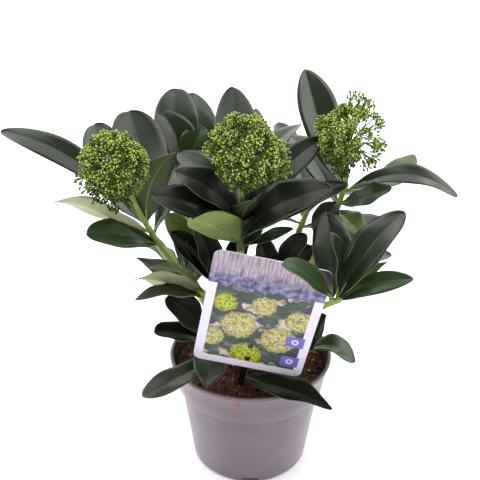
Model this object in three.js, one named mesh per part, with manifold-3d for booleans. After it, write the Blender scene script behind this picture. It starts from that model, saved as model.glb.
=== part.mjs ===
// A flowering evergreen shrub, skimmia, in its nursery pot, with a picture label on a push-in stake.
// Millimetres, +Z up. The origin is the middle of the pot's flat underside and -Y is the front.
import * as THREE from 'three';
import { mergeVertices } from 'three/addons/utils/BufferGeometryUtils.js';
import Module from 'manifold-3d';

const wasm = await Module();
wasm.setup();

const GAP = 0.3; // clear space between neighbouring pieces
const UP = new THREE.Vector3(0, 0, 1);
const { degToRad, lerp } = THREE.MathUtils;

// The pot: a tapered wall under a taller rim band, which ends in a narrow lip.
const POT = {
  height: 95.3,
  lipRadius: 65,
  lipHeight: 2.8,
  bandTopRadius: 63,
  bandFootRadius: 59.3,
  bandFootHeight: 69,
  wallTopRadius: 56.8,
  baseRadius: 46.6,
  chamfer: 1.5,
  wall: 1.6,
  sides: 32,
  slots: 4,
  slotWidth: 13,
  slotHeight: 3.6,
  slotDepth: 14,
};
const SOIL = { level: 85, flatRadius: 14, rings: [52, 40, 27], bumps: 1.3, sides: 28 };

const TRUNK = {
  top: [-5, -8, 150],
  footRadius: 6.6,
  topRadius: 4.2,
  flare: 3,
  flareFade: 9,
  buttresses: 5,
  sides: 15,
  steps: 8,
};
const BOUGH = { baseRadius: 3.1, tipRadius: 2.5, sides: 6, steps: 5, checks: 8, arrival: 0.45 };
const STEM = { footRadius: 2.5, tipRadius: 1.9, neck: 14, neckRadius: 1.6, sides: 6 };

// Leaves are leathery and blunt-tipped: widest past the middle, folded a little along the midrib.
const LEAF = {
  steps: 5, crowding: 1.4, fold: 0.25, petiole: 1.1, edge: 0.3, thickness: 0.011,
  outlines: { blunt: [1.4, 0.55], sharp: [0.95, 0.85], round: [1.6, 0.42] },
};

// Each head is a dense core with lumps of buds round it; sizes are shares of its half width.
const HEAD = { core: 0.7, lumps: 20, lumpRadius: 0.33, reach: 0.8, jitter: 0.1, stalkRadius: 1.8 };

// One row for each leafy shoot: the height where its bough leaves the trunk, its stem's foot and tip,
// and the centre, half width and half height of its flower head. Each leaf has its distance down
// the stem, its bearing and rise in degrees, its length and width, its arch and sideways sweep as
// shares of the length, its roll in degrees, and its outline where it isn't blunt. A seeded spiral
// adds as many as more says.
const SHOOTS = [
  {
    name: 'left', fork: 120, foot: [-68, -12, 195], tip: [-78, -20, 220],
    head: { centre: [-94, -36, 270], wide: 27, tall: 27 },
    leaves: [
      { down: 2, turn: 104, rise: 49, long: 90, wide: 40, arch: -0.07, sweep: -0.04, form: 'round' },
      { down: 3, turn: 131, rise: 47, long: 86, wide: 34, arch: -0.07, roll: -5, sweep: 0.07, form: 'round' },
      { down: 4, turn: 326, rise: 66, long: 70, wide: 22, arch: 0.02, roll: -60, sweep: -0.11, form: 'sharp' },
      { down: -6, turn: 165, rise: 28, long: 119, wide: 19, arch: 0.07, roll: -45, sweep: -0.06 },
      { down: 11, turn: 205, rise: 34, long: 80, wide: 16, arch: -0.02, roll: 55 },
      { down: 25, turn: 220, rise: 26, long: 64, wide: 24, arch: 0.03, roll: -38, sweep: -0.02, form: 'round' },
    ],
    more: 5, seed: 3,
  },
  {
    name: 'centre', fork: 150, foot: [-9, -24, 200], tip: [-9, -36, 238],
    head: { centre: [-5, -48, 284], wide: 29, tall: 29 },
    leaves: [
      { down: 2, turn: 95, rise: 52, long: 93, wide: 31, arch: -0.07 },
      { down: 3, turn: 82, rise: 36, long: 91, wide: 22, arch: -0.05, sweep: -0.03 },
      { down: 4, turn: 163, rise: 42, long: 60, wide: 22, arch: 0.1, roll: -30 },
      { down: 5, turn: 58, rise: 29, long: 94, wide: 22, sweep: 0.09 },
      { down: 6, turn: 21, rise: 39, long: 79, wide: 20, arch: 0.05, roll: 50, sweep: 0.03 },
      { down: 7, turn: 44, rise: 29, long: 76, wide: 24, arch: 0.06, roll: 25, sweep: 0.06 },
      { down: 12, turn: 205, rise: 45, long: 66, wide: 25, arch: 0.1, roll: -45 },
      { down: 18, turn: 202, rise: 30, long: 72, wide: 25, arch: 0.1, roll: -45 },
      { down: 30, turn: 334, rise: 40, long: 84, wide: 29, arch: 0.13, roll: 45 },
      { down: 24, turn: 359, rise: 29, long: 84, wide: 19, arch: 0.06, roll: 40 },
      { down: 34, turn: 238, rise: 38, long: 77, wide: 33, arch: 0.02, roll: 34, sweep: -0.01, form: 'sharp' },
      { down: 18, turn: 300, rise: 60, long: 32, wide: 20, arch: 0.04, roll: -10, sweep: -0.05 },
      { down: 36, turn: 338, rise: 29, long: 44, wide: 8, arch: -0.02, roll: 50 },
      { down: 38, turn: 0, rise: 52, long: 27, wide: 13, arch: 0.03, roll: 45 },
      { down: 39, turn: 292, rise: 64, long: 36, wide: 18, arch: 0.05 },
    ],
    more: 2, seed: 5,
  },
  {
    name: 'right', fork: 120, foot: [61, 0, 216], tip: [68, 0, 240],
    head: { centre: [67, -10, 281], wide: 26, tall: 31 },
    leaves: [
      { down: 2, turn: 137, rise: 65, long: 91, wide: 33, arch: -0.05, roll: -15, sweep: 0.02 },
      { down: 4, turn: 35, rise: 11, long: 75, wide: 19, arch: -0.04, roll: 20, sweep: -0.1 },
      { down: 6, turn: 353, rise: 3, long: 83, wide: 16, arch: 0.12, roll: 38, sweep: 0.125 },
      { down: 12, turn: 197, rise: -49, long: 32, wide: 18, arch: 0.06, roll: -40, form: 'sharp' },
      { down: 15, turn: 328, rise: 31, long: 45, wide: 16, roll: 40, sweep: -0.05 },
      { down: 20, turn: 304, rise: -16, long: 28, wide: 20, arch: 0.05, roll: 10 },
    ],
    more: 5, seed: 12,
  },
  {
    name: 'lower_right', fork: 104, foot: [47, -45, 163], tip: [58, -70, 184],
    leaves: [
      { down: 1, turn: 137, rise: 84, long: 51, wide: 13, arch: 0.02, roll: 10, sweep: -0.05 },
      { down: 3, turn: 8, rise: 58, long: 78, wide: 27, arch: 0.04, roll: 30, sweep: 0.02 },
      { down: 4, turn: 8, rise: 41, long: 45, wide: 9, arch: 0.07, roll: 30, form: 'sharp' },
      { down: 2.5, turn: 220, rise: 44, long: 68, wide: 20, arch: 0.02, roll: -45, sweep: -0.02 },
      { down: 6, turn: 344, rise: 28, long: 58, wide: 15, arch: 0.08, roll: 50, sweep: 0.04 },
      { down: 11, turn: 94, rise: 60, long: 64, wide: 27, arch: 0.03, sweep: -0.02 },
    ],
    more: 0, seed: 9,
  },
  {
    name: 'lower_left', fork: 106, foot: [-28, -26, 153], tip: [-38, -34, 169],
    leaves: [
      { down: 2, turn: 169, rise: 29, long: 55, wide: 17, arch: 0.02, roll: -20, form: 'sharp' },
      { down: 8, turn: 208, rise: 42, long: 58, wide: 12, arch: 0.13, roll: -12, form: 'sharp' },
      { down: 5, turn: 201, rise: 28, long: 58, wide: 21, arch: 0.05, roll: 60, form: 'sharp' },
      { down: 8, turn: 211, rise: 18, long: 59, wide: 17, arch: 0.09, roll: -10, form: 'sharp' },
    ],
    more: 1, seed: 11,
  },
  {
    name: 'inner_left', fork: 136, foot: [-23, -6, 145], tip: [-27, -8, 163],
    leaves: [
      { down: 1, turn: 143, rise: 69, long: 45, wide: 24, arch: 0.03 },
      { down: 2, turn: 25, rise: 56, long: 47, wide: 18, arch: 0.03, roll: 25, sweep: -0.03 },
      { down: 3, turn: 137, rise: 46, long: 48, wide: 20, arch: 0.03, sweep: -0.05 },
      { down: 5, turn: 156, rise: 47, long: 56, wide: 22, arch: 0.03, roll: -20, sweep: -0.05 },
      { down: 4, turn: 144, rise: 46, long: 68, wide: 20, arch: 0.02, roll: -30, form: 'round' },
    ],
    more: 1, seed: 13,
  },
  {
    name: 'inner_right', fork: 136, foot: [16, -10, 149], tip: [23, -15, 174],
    leaves: [
      { down: 3, turn: 21, rise: 62, long: 38, wide: 23, arch: 0.03, roll: 10, sweep: 0.04 },
      { down: 5, turn: 131, rise: 50, long: 33, wide: 22, arch: 0.03, sweep: 0.15 },
      { down: 7, turn: 39, rise: 35, long: 38, wide: 18, arch: 0.03, roll: 10 },
    ],
    more: 1, seed: 15,
  },
  {
    name: 'rim_left', fork: 94, foot: [-26, -16, 98], tip: [-35, -25, 126],
    leaves: [
      { down: 1, turn: 191, rise: 53, long: 47, wide: 27, arch: 0.03, roll: -35, sweep: -0.04, form: 'round' },
      { down: 4, turn: 203, rise: 24, long: 45, wide: 19, arch: 0.02, roll: -20, form: 'round' },
      { down: 15, turn: 265, rise: -19, long: 37, wide: 25, arch: 0.03, roll: -11, form: 'sharp' },
      { down: 26, turn: 228, rise: 4, long: 76, wide: 19, arch: 0.01, roll: -22, sweep: 0.02, form: 'round' },
    ],
    more: 0, seed: 17,
  },
  {
    name: 'rim_front', fork: 91, foot: [-4, -16, 89], tip: [-6, -30, 91],
    leaves: [
      { down: 1, turn: 324, rise: 6, long: 79, wide: 25, arch: 0.01, roll: 4, form: 'sharp' },
    ],
    more: 0, seed: 19,
  },
  {
    name: 'rim_right', fork: 93, foot: [38, -10, 99], tip: [45, -15, 106],
    leaves: [
      { down: 1, turn: 12, rise: 68, long: 34, wide: 27, arch: 0.03, sweep: -0.11 },
      { down: 2, turn: 339, rise: 1, long: 39, wide: 22, arch: 0.25, roll: 5, sweep: 0.02 },
    ],
    more: 0, seed: 21,
  },
  {
    name: 'back_left', fork: 126, foot: [-44, 33, 209], tip: [-53, 40, 226],
    leaves: [
      { down: 1, turn: 38, rise: 69, long: 46, wide: 25, arch: 0.04, roll: 45, form: 'round' },
      { down: 2, turn: 150, rise: 70, long: 61, wide: 29, arch: 0.05, roll: -30, sweep: -0.08 },
      { down: 4, turn: 106, rise: 70, long: 76, wide: 34, arch: 0.04, sweep: 0.06, form: 'round' },
      { down: 5, turn: 86, rise: 57, long: 77, wide: 30, arch: 0.03, sweep: -0.1 },
    ],
    more: 9, seed: 24,
  },
  {
    name: 'back_right', fork: 130, foot: [38, 42, 180], tip: [52, 56, 212],
    leaves: [],
    more: 14, seed: 25,
  },
  {
    name: 'back', fork: 116, foot: [-5, 56, 160], tip: [-6, 76, 198],
    leaves: [],
    more: 14, seed: 28,
  },
  {
    name: 'low_back_left', fork: 102, foot: [-42, 34, 126], tip: [-62, 48, 152],
    leaves: [],
    more: 12, seed: 29,
  },
  {
    name: 'low_back_right', fork: 106, foot: [46, 30, 124], tip: [64, 44, 148],
    leaves: [],
    more: 12, seed: 98,
  },
  {
    name: 'low_back', fork: 96, foot: [5, 38, 108], tip: [8, 64, 132],
    leaves: [],
    more: 12, seed: 33,
  },
];

// The seeded spiral: each leaf turns by the golden angle and lies flatter the lower it stands.
const SPIRAL = {
  turn: 137.5,
  ends: 3,
  topRise: 60,
  fall: 1.6,
  long: [54, 78],
  slender: [0.32, 0.4],
  arch: [0.01, 0.08],
  roll: 18,
  sweep: 0.05,
};
// How far the seeded leaves keep from others, measured between points along them.
const SPACING = {
  along: [0.3, 0.5, 0.75, 1],
  leaf: 14,
  bough: 13,
  head: 36,
  front: -22,
  frontTop: 235,
};

const LABEL = {
  wide: 83,
  tall: 110,
  thick: 0.8,
  corner: 6,
  foot: [-4, -40, 108],
  lean: 12.7,
  roll: 10.9,
  yaw: -5.8,
  holes: [10, 23.6],
  holeRadius: 2.5,
  holeOffset: -1,
};
const STAKE = { wide: 5, thick: 1.6, above: 32, below: 60, point: 8, pegRadius: 2.1, pegStand: 0.8 };

const COLOURS = {
  pot: '#8a7f8b',
  soil: '#3a261d',
  bark: '#7a6a4e',
  bough: '#87a052',
  leaf: '#33462b',
  flower: '#9fb84a',
  card: '#e9e3f0',
  stake: '#15151a',
};

const vector = (list) => new THREE.Vector3(...list);

// Numbers from 0 to 1 that repeat for the same seed.
function seeded(seed) {
  let state = seed * 7919;
  return () => {
    state = (state * 16807) % 2147483647;
    return state / 2147483647;
  };
}

function solid(geometry) {
  const plain = geometry.clone();
  plain.deleteAttribute('normal');
  plain.deleteAttribute('uv');
  const merged = mergeVertices(plain, 1e-4);
  return new wasm.Manifold(new wasm.Mesh({
    numProp: 3,
    vertProperties: merged.attributes.position.array,
    triVerts: new Uint32Array(merged.index.array),
  }));
}

function geometryOf(manifold) {
  const mesh = manifold.getMesh();
  const geometry = new THREE.BufferGeometry();
  geometry.setAttribute('position', new THREE.BufferAttribute(mesh.vertProperties, 3));
  geometry.setIndex(new THREE.BufferAttribute(mesh.triVerts, 1));
  geometry.computeVertexNormals();
  return geometry;
}

function piece(name, geometry, colour, roughness) {
  const material = new THREE.MeshStandardMaterial({ color: colour, roughness, metalness: 0 });
  const mesh = new THREE.Mesh(geometry, material);
  mesh.name = name;
  return mesh;
}

// Moves each vertex of a geometry to where place puts it.
function reshape(geometry, place) {
  const position = geometry.attributes.position;
  for (let i = 0; i < position.count; i += 1) {
    const point = place(position.getX(i), position.getY(i), position.getZ(i));
    position.setXYZ(i, point.x, point.y, point.z);
  }
  return geometry;
}

// A surface of revolution about Z, from [radius, height] pairs listed bottom to top on the outside.
function turned(profile, sides) {
  const points = profile.map(([radius, height]) => new THREE.Vector2(radius, height));
  return new THREE.LatheGeometry(points, sides).rotateX(Math.PI / 2);
}

// ---- Pot and soil ----

function wallRadius(height) {
  return lerp(POT.baseRadius, POT.wallTopRadius, height / POT.bandFootHeight);
}

function bandRadius(height) {
  const rise = (height - POT.bandFootHeight) / (POT.height - POT.lipHeight - POT.bandFootHeight);
  return lerp(POT.bandFootRadius, POT.bandTopRadius, rise);
}

function potGeometry() {
  const { height, lipHeight, lipRadius, bandFootHeight, chamfer, wall } = POT;
  const lipFoot = height - lipHeight;
  const shoulder = bandFootHeight - 1.5;
  const profile = [
    [0, 0],
    [POT.baseRadius - chamfer, 0],
    [wallRadius(chamfer), chamfer],
    [wallRadius(shoulder), shoulder],
    [POT.bandFootRadius, bandFootHeight],
    [POT.bandTopRadius, lipFoot],
    [lipRadius, lipFoot + 0.6],
    [lipRadius, height],
    [lipRadius - wall - 1, height],
    [POT.bandTopRadius - wall, lipFoot],
    [POT.bandFootRadius - wall, bandFootHeight + wall],
    [wallRadius(shoulder) - wall, shoulder],
    [wallRadius(wall) - wall, wall],
    [0, wall],
  ];
  let pot = solid(turned(profile, POT.sides));
  for (let i = 0; i < POT.slots; i += 1) {
    const slot = new THREE.BoxGeometry(POT.slotWidth, POT.slotDepth, POT.slotHeight * 2);
    slot.translate(0, -POT.baseRadius, 0).rotateZ((i * 2 * Math.PI) / POT.slots);
    pot = pot.subtract(solid(slot));
  }
  return geometryOf(pot);
}

// Low hummocks in the soil, none of them under the trunk or against the pot.
function soilHeight(x, y) {
  const radius = Math.hypot(x, y);
  if (radius < SOIL.flatRadius + 1 || radius > SOIL.rings[0] + 1) {
    return SOIL.level;
  }
  return SOIL.level + SOIL.bumps * Math.sin(x * 0.23 + 1) * Math.cos(y * 0.19 - x * 0.08);
}

function soilGeometry(stakeRoom) {
  const floor = POT.wall + GAP;
  const clear = POT.wall + GAP;
  const shoulder = POT.bandFootHeight - 1.5;
  const rings = [...SOIL.rings, SOIL.flatRadius, 0];
  const profile = [
    [0, floor],
    [wallRadius(floor) - clear - 0.3, floor],
    [wallRadius(shoulder) - clear - 0.2, shoulder - 1],
    [bandRadius(SOIL.level) - clear - 0.4, SOIL.level],
    ...rings.map((radius) => [radius, SOIL.level]),
  ];
  const geometry = reshape(turned(profile, SOIL.sides), (x, y, z) => (
    new THREE.Vector3(x, y, z > SOIL.level - 1 ? soilHeight(x, y) : z)
  ));
  return geometryOf(solid(geometry).subtract(stakeRoom));
}

// ---- Limbs ----

// A round limb that follows a curve, its radius worked out from the share of the way along it.
function limb(curve, radiusAt, sides, steps) {
  const frames = curve.computeFrenetFrames(steps);
  const geometry = new THREE.CylinderGeometry(1, 1, 1, sides, steps);
  return solid(reshape(geometry, (x, y, z) => {
    const along = y + 0.5;
    const step = Math.round(along * steps);
    const radius = radiusAt(along, Math.atan2(x, z));
    return curve.getPointAt(along)
      .addScaledVector(frames.binormals[step], x * radius)
      .addScaledVector(frames.normals[step], z * radius);
  }));
}

const trunkFoot = new THREE.Vector3(0, 0, SOIL.level + GAP);
const trunkCurve = new THREE.QuadraticBezierCurve3(
  trunkFoot,
  new THREE.Vector3(1, 0, 118),
  vector(TRUNK.top),
);

// The trunk tapers upwards and spreads into low buttresses at the soil, where it is cut flat.
function trunkSolid(margin) {
  const height = TRUNK.top[2] - trunkFoot.z;
  const trunk = limb(trunkCurve, (along, angle) => {
    const flare = TRUNK.flare * Math.exp((-along * height) / TRUNK.flareFade);
    const buttress = 1 + 0.35 * Math.cos(angle * TRUNK.buttresses);
    return lerp(TRUNK.footRadius, TRUNK.topRadius, along) + flare * buttress + margin;
  }, TRUNK.sides, TRUNK.steps);
  const below = new THREE.BoxGeometry(60, 60, 20).translate(0, 0, trunkFoot.z - 10);
  return margin ? trunk : trunk.subtract(solid(below));
}

function trunkPoint(height) {
  const share = (height - trunkFoot.z) / (TRUNK.top[2] - trunkFoot.z);
  return trunkCurve.getPoint(Math.min(share, 1));
}

// A bough leaves the trunk, bends and arrives in line with the stem of its shoot.
function boughCurve(shoot) {
  const foot = vector(shoot.foot);
  const heading = vector(shoot.tip).sub(foot).normalize();
  const start = trunkPoint(shoot.fork);
  const end = foot.clone().addScaledVector(heading, -GAP);
  const bend = foot.clone().addScaledVector(heading, -BOUGH.arrival * start.distanceTo(foot));
  return new THREE.QuadraticBezierCurve3(start, bend, end);
}

function boughSolid(shoot, trunkRoom) {
  const radiusAt = (along) => lerp(BOUGH.baseRadius, BOUGH.tipRadius, along);
  return limb(boughCurve(shoot), radiusAt, BOUGH.sides, BOUGH.steps).subtract(trunkRoom);
}

// ---- Leaves ----

// Directions along a leaf's chord, across its blade and out of its upper face.
function leafAxes({ turn, rise, roll = 0 }) {
  const along = new THREE.Vector3(1, 0, 0)
    .applyAxisAngle(new THREE.Vector3(0, -1, 0), degToRad(rise))
    .applyAxisAngle(UP, degToRad(turn));
  const across = new THREE.Vector3().crossVectors(UP, along).normalize();
  across.applyAxisAngle(along, degToRad(roll));
  return { along, across, out: new THREE.Vector3().crossVectors(along, across) };
}

// Half of a leaf's width as a share of its widest. An outline is how far out its widest part is
// and how blunt its tip is.
function leafOutline(t, form = 'blunt') {
  const [reach, blunt] = LEAF.outlines[form];
  return Math.max(Math.sin(Math.PI * t ** reach), 0) ** blunt;
}

// A blade with four edges: its two margins, and the midrib above and below.
function leafSolid(leaf, margin = 0) {
  const { along, across, out } = leafAxes(leaf);
  const { long, wide, arch = 0, sweep = 0 } = leaf;
  const geometry = new THREE.CylinderGeometry(1, 1, 1, 4, LEAF.steps);
  return solid(reshape(geometry, (x, y, z) => {
    const t = 1 - (0.5 - y) ** LEAF.crowding;
    const blade = (wide / 2) * leafOutline(t, leaf.form);
    const halfWidth = Math.max(blade, LEAF.petiole * (1 - t)) + LEAF.edge + margin;
    const halfThick = Math.max((LEAF.thickness / 2) * long, LEAF.petiole * (1 - t)) + margin;
    const bow = long * 4 * t * (1 - t);
    return leaf.root.clone()
      .addScaledVector(along, long * t)
      .addScaledVector(across, sweep * bow - x * halfWidth)
      .addScaledVector(out, arch * bow + Math.abs(x) * halfWidth * LEAF.fold + z * halfThick);
  }));
}

// Where a leaf joins its stem, or the bare neck above it for a distance below zero.
function leafRoot(shoot, down) {
  const tip = vector(shoot.tip);
  const towards = down < 0 && shoot.head ? vector(shoot.head.centre) : vector(shoot.foot);
  return tip.clone().addScaledVector(towards.sub(tip).normalize(), Math.abs(down));
}

function spiralLeaf(shoot, index, random) {
  const between = ([low, high]) => lerp(low, high, random());
  const either = (most) => (random() * 2 - 1) * most;
  const stem = vector(shoot.foot).distanceTo(vector(shoot.tip));
  const down = between([SPIRAL.ends, stem - SPIRAL.ends]);
  const long = between(SPIRAL.long);
  return {
    down,
    root: leafRoot(shoot, down),
    turn: shoot.seed * 40 + index * SPIRAL.turn + either(15),
    rise: SPIRAL.topRise - SPIRAL.fall * down + either(8),
    long,
    wide: long * between(SPIRAL.slender),
    arch: between(SPIRAL.arch),
    roll: either(SPIRAL.roll),
    sweep: either(SPIRAL.sweep),
  };
}

const pointsAlong = (leaf) => SPACING.along.map((t) => (
  leaf.root.clone().addScaledVector(leafAxes(leaf).along, leaf.long * t)
));

// Room for one more leaf: clear of the others and of the flower heads, and not in front of the label.
function hasRoom(leaf, taken, boughs, heads) {
  return pointsAlong(leaf).every((point) => (
    taken.every((other) => point.distanceTo(other) > SPACING.leaf)
    && boughs.every((other) => point.distanceTo(other) > SPACING.bough)
    && heads.every((head) => point.distanceTo(vector(head.centre)) > SPACING.head)
    && (point.y > SPACING.front || point.z > SPACING.frontTop)
  ));
}

function planLeaves() {
  const plan = SHOOTS.map((shoot) => (
    shoot.leaves.map((leaf) => ({ ...leaf, root: leafRoot(shoot, leaf.down) }))
  ));
  const taken = plan.flat().flatMap(pointsAlong);
  const boughs = SHOOTS.flatMap((shoot) => boughCurve(shoot).getPoints(BOUGH.checks));
  const heads = SHOOTS.filter((shoot) => shoot.head).map((shoot) => shoot.head);
  SHOOTS.forEach((shoot, i) => {
    const random = seeded(shoot.seed);
    for (let k = 0; k < shoot.more; k += 1) {
      const leaf = spiralLeaf(shoot, k, random);
      if (hasRoom(leaf, taken, boughs, heads)) {
        plan[i].push(leaf);
        taken.push(...pointsAlong(leaf));
      }
    }
  });
  return plan;
}

const headAxis = (shoot) => vector(shoot.head.centre).sub(vector(shoot.tip)).normalize();

// The leafy end of a shoot in one solid. A leaf that would touch a neighbour is skipped.
function shootSolid(shoot, leaves, neighbours) {
  const foot = vector(shoot.foot);
  const tip = vector(shoot.tip);
  const radiusAt = (along) => lerp(STEM.footRadius, STEM.tipRadius, along);
  let mass = limb(new THREE.LineCurve3(foot, tip), radiusAt, STEM.sides, 1);
  if (shoot.head) {
    const axis = headAxis(shoot);
    const start = tip.clone().addScaledVector(axis, -2);
    const end = tip.clone().addScaledVector(axis, STEM.neck);
    mass = mass.add(limb(new THREE.LineCurve3(start, end), () => STEM.neckRadius, STEM.sides, 1));
  }
  leaves.forEach((leaf) => {
    const room = leafSolid(leaf, GAP);
    if (neighbours.every((other) => room.intersect(other).isEmpty())) {
      mass = mass.add(leafSolid(leaf));
    }
  });
  return mass;
}

// ---- Flower heads ----

// The short stalk of a head and the dense middle that its bud clusters stand round.
function headCore(shoot) {
  const { wide, tall } = shoot.head;
  const centre = vector(shoot.head.centre);
  const start = vector(shoot.tip).addScaledVector(headAxis(shoot), STEM.neck + GAP);
  const stalk = limb(new THREE.LineCurve3(start, centre), () => HEAD.stalkRadius, STEM.sides, 1);
  const core = new THREE.IcosahedronGeometry(HEAD.core, 1).scale(wide, wide, tall);
  return stalk.add(solid(core.translate(...centre)));
}

// A dome of bud clusters set round the core on a spiral, each left out where it would touch a leaf.
function headSolid(shoot, core, neighbours) {
  const { wide, tall } = shoot.head;
  const random = seeded(shoot.seed + 100);
  const centre = vector(shoot.head.centre);
  let head = core;
  const turnUp = new THREE.Quaternion().setFromUnitVectors(UP, headAxis(shoot));
  for (let i = 0; i < HEAD.lumps; i += 1) {
    const height = 1 - ((i + 0.5) / HEAD.lumps) * 2 * HEAD.reach;
    const ring = Math.sqrt(1 - height ** 2);
    const angle = degToRad(i * SPIRAL.turn);
    const reach = 1 - HEAD.lumpRadius - HEAD.jitter * random();
    const spot = new THREE.Vector3(ring * Math.cos(angle), ring * Math.sin(angle), height)
      .applyQuaternion(turnUp)
      .multiply(new THREE.Vector3(wide, wide, tall).multiplyScalar(reach))
      .add(centre);
    const lump = new THREE.IcosahedronGeometry(HEAD.lumpRadius * wide, 0);
    lump.rotateX(random() * Math.PI).translate(...spot);
    const cluster = solid(lump);
    if (neighbours.every((other) => cluster.intersect(other).isEmpty())) {
      head = head.add(cluster);
    }
  }
  return head;
}

// ---- Label ----

// The card stands in the XZ plane of its own group, foot in the middle of its bottom edge.
function cardGeometry() {
  const { wide, tall, corner, thick } = LABEL;
  const left = -wide / 2;
  const shape = new THREE.Shape();
  shape.absarc(-left - corner, corner, corner, -Math.PI / 2, 0);
  shape.absarc(-left - corner, tall - corner, corner, 0, Math.PI / 2);
  shape.absarc(left + corner, tall - corner, corner, Math.PI / 2, Math.PI);
  shape.absarc(left + corner, corner, corner, Math.PI, 1.5 * Math.PI);
  LABEL.holes.forEach((height) => {
    const hole = new THREE.Path();
    hole.absarc(LABEL.holeOffset, height, LABEL.holeRadius, 0, Math.PI * 2);
    shape.holes.push(hole);
  });
  const card = new THREE.ExtrudeGeometry(shape, { depth: thick, bevelEnabled: false, curveSegments: 4 });
  return card.rotateX(Math.PI / 2);
}

// The stake lies flat behind the card, with a peg through each of its holes and a pointed foot.
function stakeSolid(margin = 0) {
  const half = STAKE.wide / 2 + margin;
  const foot = -STAKE.below - margin;
  const outline = [
    [-half, STAKE.above],
    [-half, foot + STAKE.point],
    [0, foot],
    [half, foot + STAKE.point],
    [half, STAKE.above],
  ].map(([x, z]) => new THREE.Vector2(x + LABEL.holeOffset, z));
  const depth = STAKE.thick + 2 * margin;
  const blade = new THREE.ExtrudeGeometry(new THREE.Shape(outline), { depth, bevelEnabled: false });
  let stake = solid(blade.rotateX(Math.PI / 2).translate(0, GAP + depth - margin, 0));
  const pegLength = LABEL.thick + GAP + 1 + STAKE.pegStand;
  LABEL.holes.forEach((height) => {
    const peg = new THREE.CylinderGeometry(STAKE.pegRadius, STAKE.pegRadius, pegLength, 10);
    peg.translate(LABEL.holeOffset, pegLength / 2 - LABEL.thick - STAKE.pegStand, height);
    stake = stake.add(solid(peg));
  });
  return stake;
}

const labelStand = new THREE.Group();
labelStand.position.set(...LABEL.foot);
labelStand.rotation.set(degToRad(LABEL.lean), degToRad(LABEL.roll), degToRad(LABEL.yaw), 'ZXY');
labelStand.updateMatrixWorld(true);
const inPlace = (geometry) => solid(geometry.clone().applyMatrix4(labelStand.matrixWorld));

// ---- Assembly ----

const plant = new THREE.Group();
plant.add(labelStand);
const card = cardGeometry();
const stake = geometryOf(stakeSolid());
labelStand.add(piece('label_card', card, COLOURS.card, 0.35));
labelStand.add(piece('label_stake', stake, COLOURS.stake, 0.3));

const stakeRoom = inPlace(geometryOf(stakeSolid(GAP)));
const pot = potGeometry();
const soil = soilGeometry(stakeRoom);
plant.add(piece('pot', pot, COLOURS.pot, 0.45));
plant.add(piece('growing_medium', soil, COLOURS.soil, 0.95));

const trunk = trunkSolid(0);
plant.add(piece('main_stem', geometryOf(trunk), COLOURS.bark, 0.8));

const neighbours = [inPlace(card), stakeRoom, solid(pot), solid(soil), trunk];
const trunkRoom = trunkSolid(GAP);
SHOOTS.forEach((shoot) => {
  const bough = boughSolid(shoot, trunkRoom);
  neighbours.push(bough);
  plant.add(piece(`bough_${shoot.name}`, geometryOf(bough), COLOURS.bough, 0.6));
});
const flowering = SHOOTS.filter((shoot) => shoot.head);
const cores = flowering.map(headCore);
neighbours.push(...cores);
const plan = planLeaves();
SHOOTS.forEach((shoot, i) => {
  const mass = shootSolid(shoot, plan[i], neighbours);
  neighbours.push(mass);
  plant.add(piece(`leaves_${shoot.name}`, geometryOf(mass), COLOURS.leaf, 0.4));
});

flowering.forEach((shoot, i) => {
  const others = neighbours.filter((other) => other !== cores[i]);
  const head = headSolid(shoot, cores[i], others);
  plant.add(piece(`flower_head_${shoot.name}`, geometryOf(head), COLOURS.flower, 0.7));
});

export default plant;
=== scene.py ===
import math

import bmesh
import bpy
import numpy as np
from mathutils import Matrix, Vector, noise


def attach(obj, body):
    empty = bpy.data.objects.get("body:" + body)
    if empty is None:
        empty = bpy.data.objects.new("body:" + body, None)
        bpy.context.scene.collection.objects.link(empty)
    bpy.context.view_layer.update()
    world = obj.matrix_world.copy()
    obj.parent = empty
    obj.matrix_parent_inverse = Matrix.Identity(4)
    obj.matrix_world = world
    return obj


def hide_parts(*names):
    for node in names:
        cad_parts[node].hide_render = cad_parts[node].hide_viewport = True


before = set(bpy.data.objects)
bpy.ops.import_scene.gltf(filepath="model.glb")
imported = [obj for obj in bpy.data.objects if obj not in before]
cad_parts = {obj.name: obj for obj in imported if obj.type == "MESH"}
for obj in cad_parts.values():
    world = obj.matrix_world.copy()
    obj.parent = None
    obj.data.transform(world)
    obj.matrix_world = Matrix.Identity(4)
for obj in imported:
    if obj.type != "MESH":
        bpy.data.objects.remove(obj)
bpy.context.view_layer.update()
mm = 0.001
goldenTurn = 137.5
fullTurn = 6.283

# The view is from a little above, square on to the label.
view = {"place": (-0.0131, -0.5754, 0.4848), "pitch": 63.3, "turn": -0.4, "roll": 0.34, "lens": 63.93}


def placeCamera():
    lens = bpy.data.cameras.new("viewCamera")
    lens.sensor_width = 36
    lens.lens = view["lens"]
    lens.clip_start = 0.01
    eye = bpy.data.objects.new("viewCamera", lens)
    bpy.context.scene.collection.objects.link(eye)
    aim = Matrix.Rotation(math.radians(view["turn"]), 4, "Z")
    aim = aim @ Matrix.Rotation(math.radians(view["pitch"]), 4, "X")
    aim = aim @ Matrix.Rotation(math.radians(view["roll"]), 4, "Z")
    eye.matrix_world = Matrix.Translation(view["place"]) @ aim
    bpy.context.scene.camera = eye


placeCamera()


def screen(red, green, blue):
    # screen numbers from 0 to 255 as the shader's own colour
    def part(value):
        value /= 255
        return value / 12.92 if value <= 0.04045 else ((value + 0.055) / 1.055) ** 2.4
    return part(red), part(green), part(blue)


def feed(tree, socket, value):
    # a socket is linked, anything else is set as the socket's value
    if isinstance(value, bpy.types.NodeSocket):
        tree.links.new(value, socket)
    elif socket.type == "RGBA":
        socket.default_value = (*value, 1)
    else:
        socket.default_value = value


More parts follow.
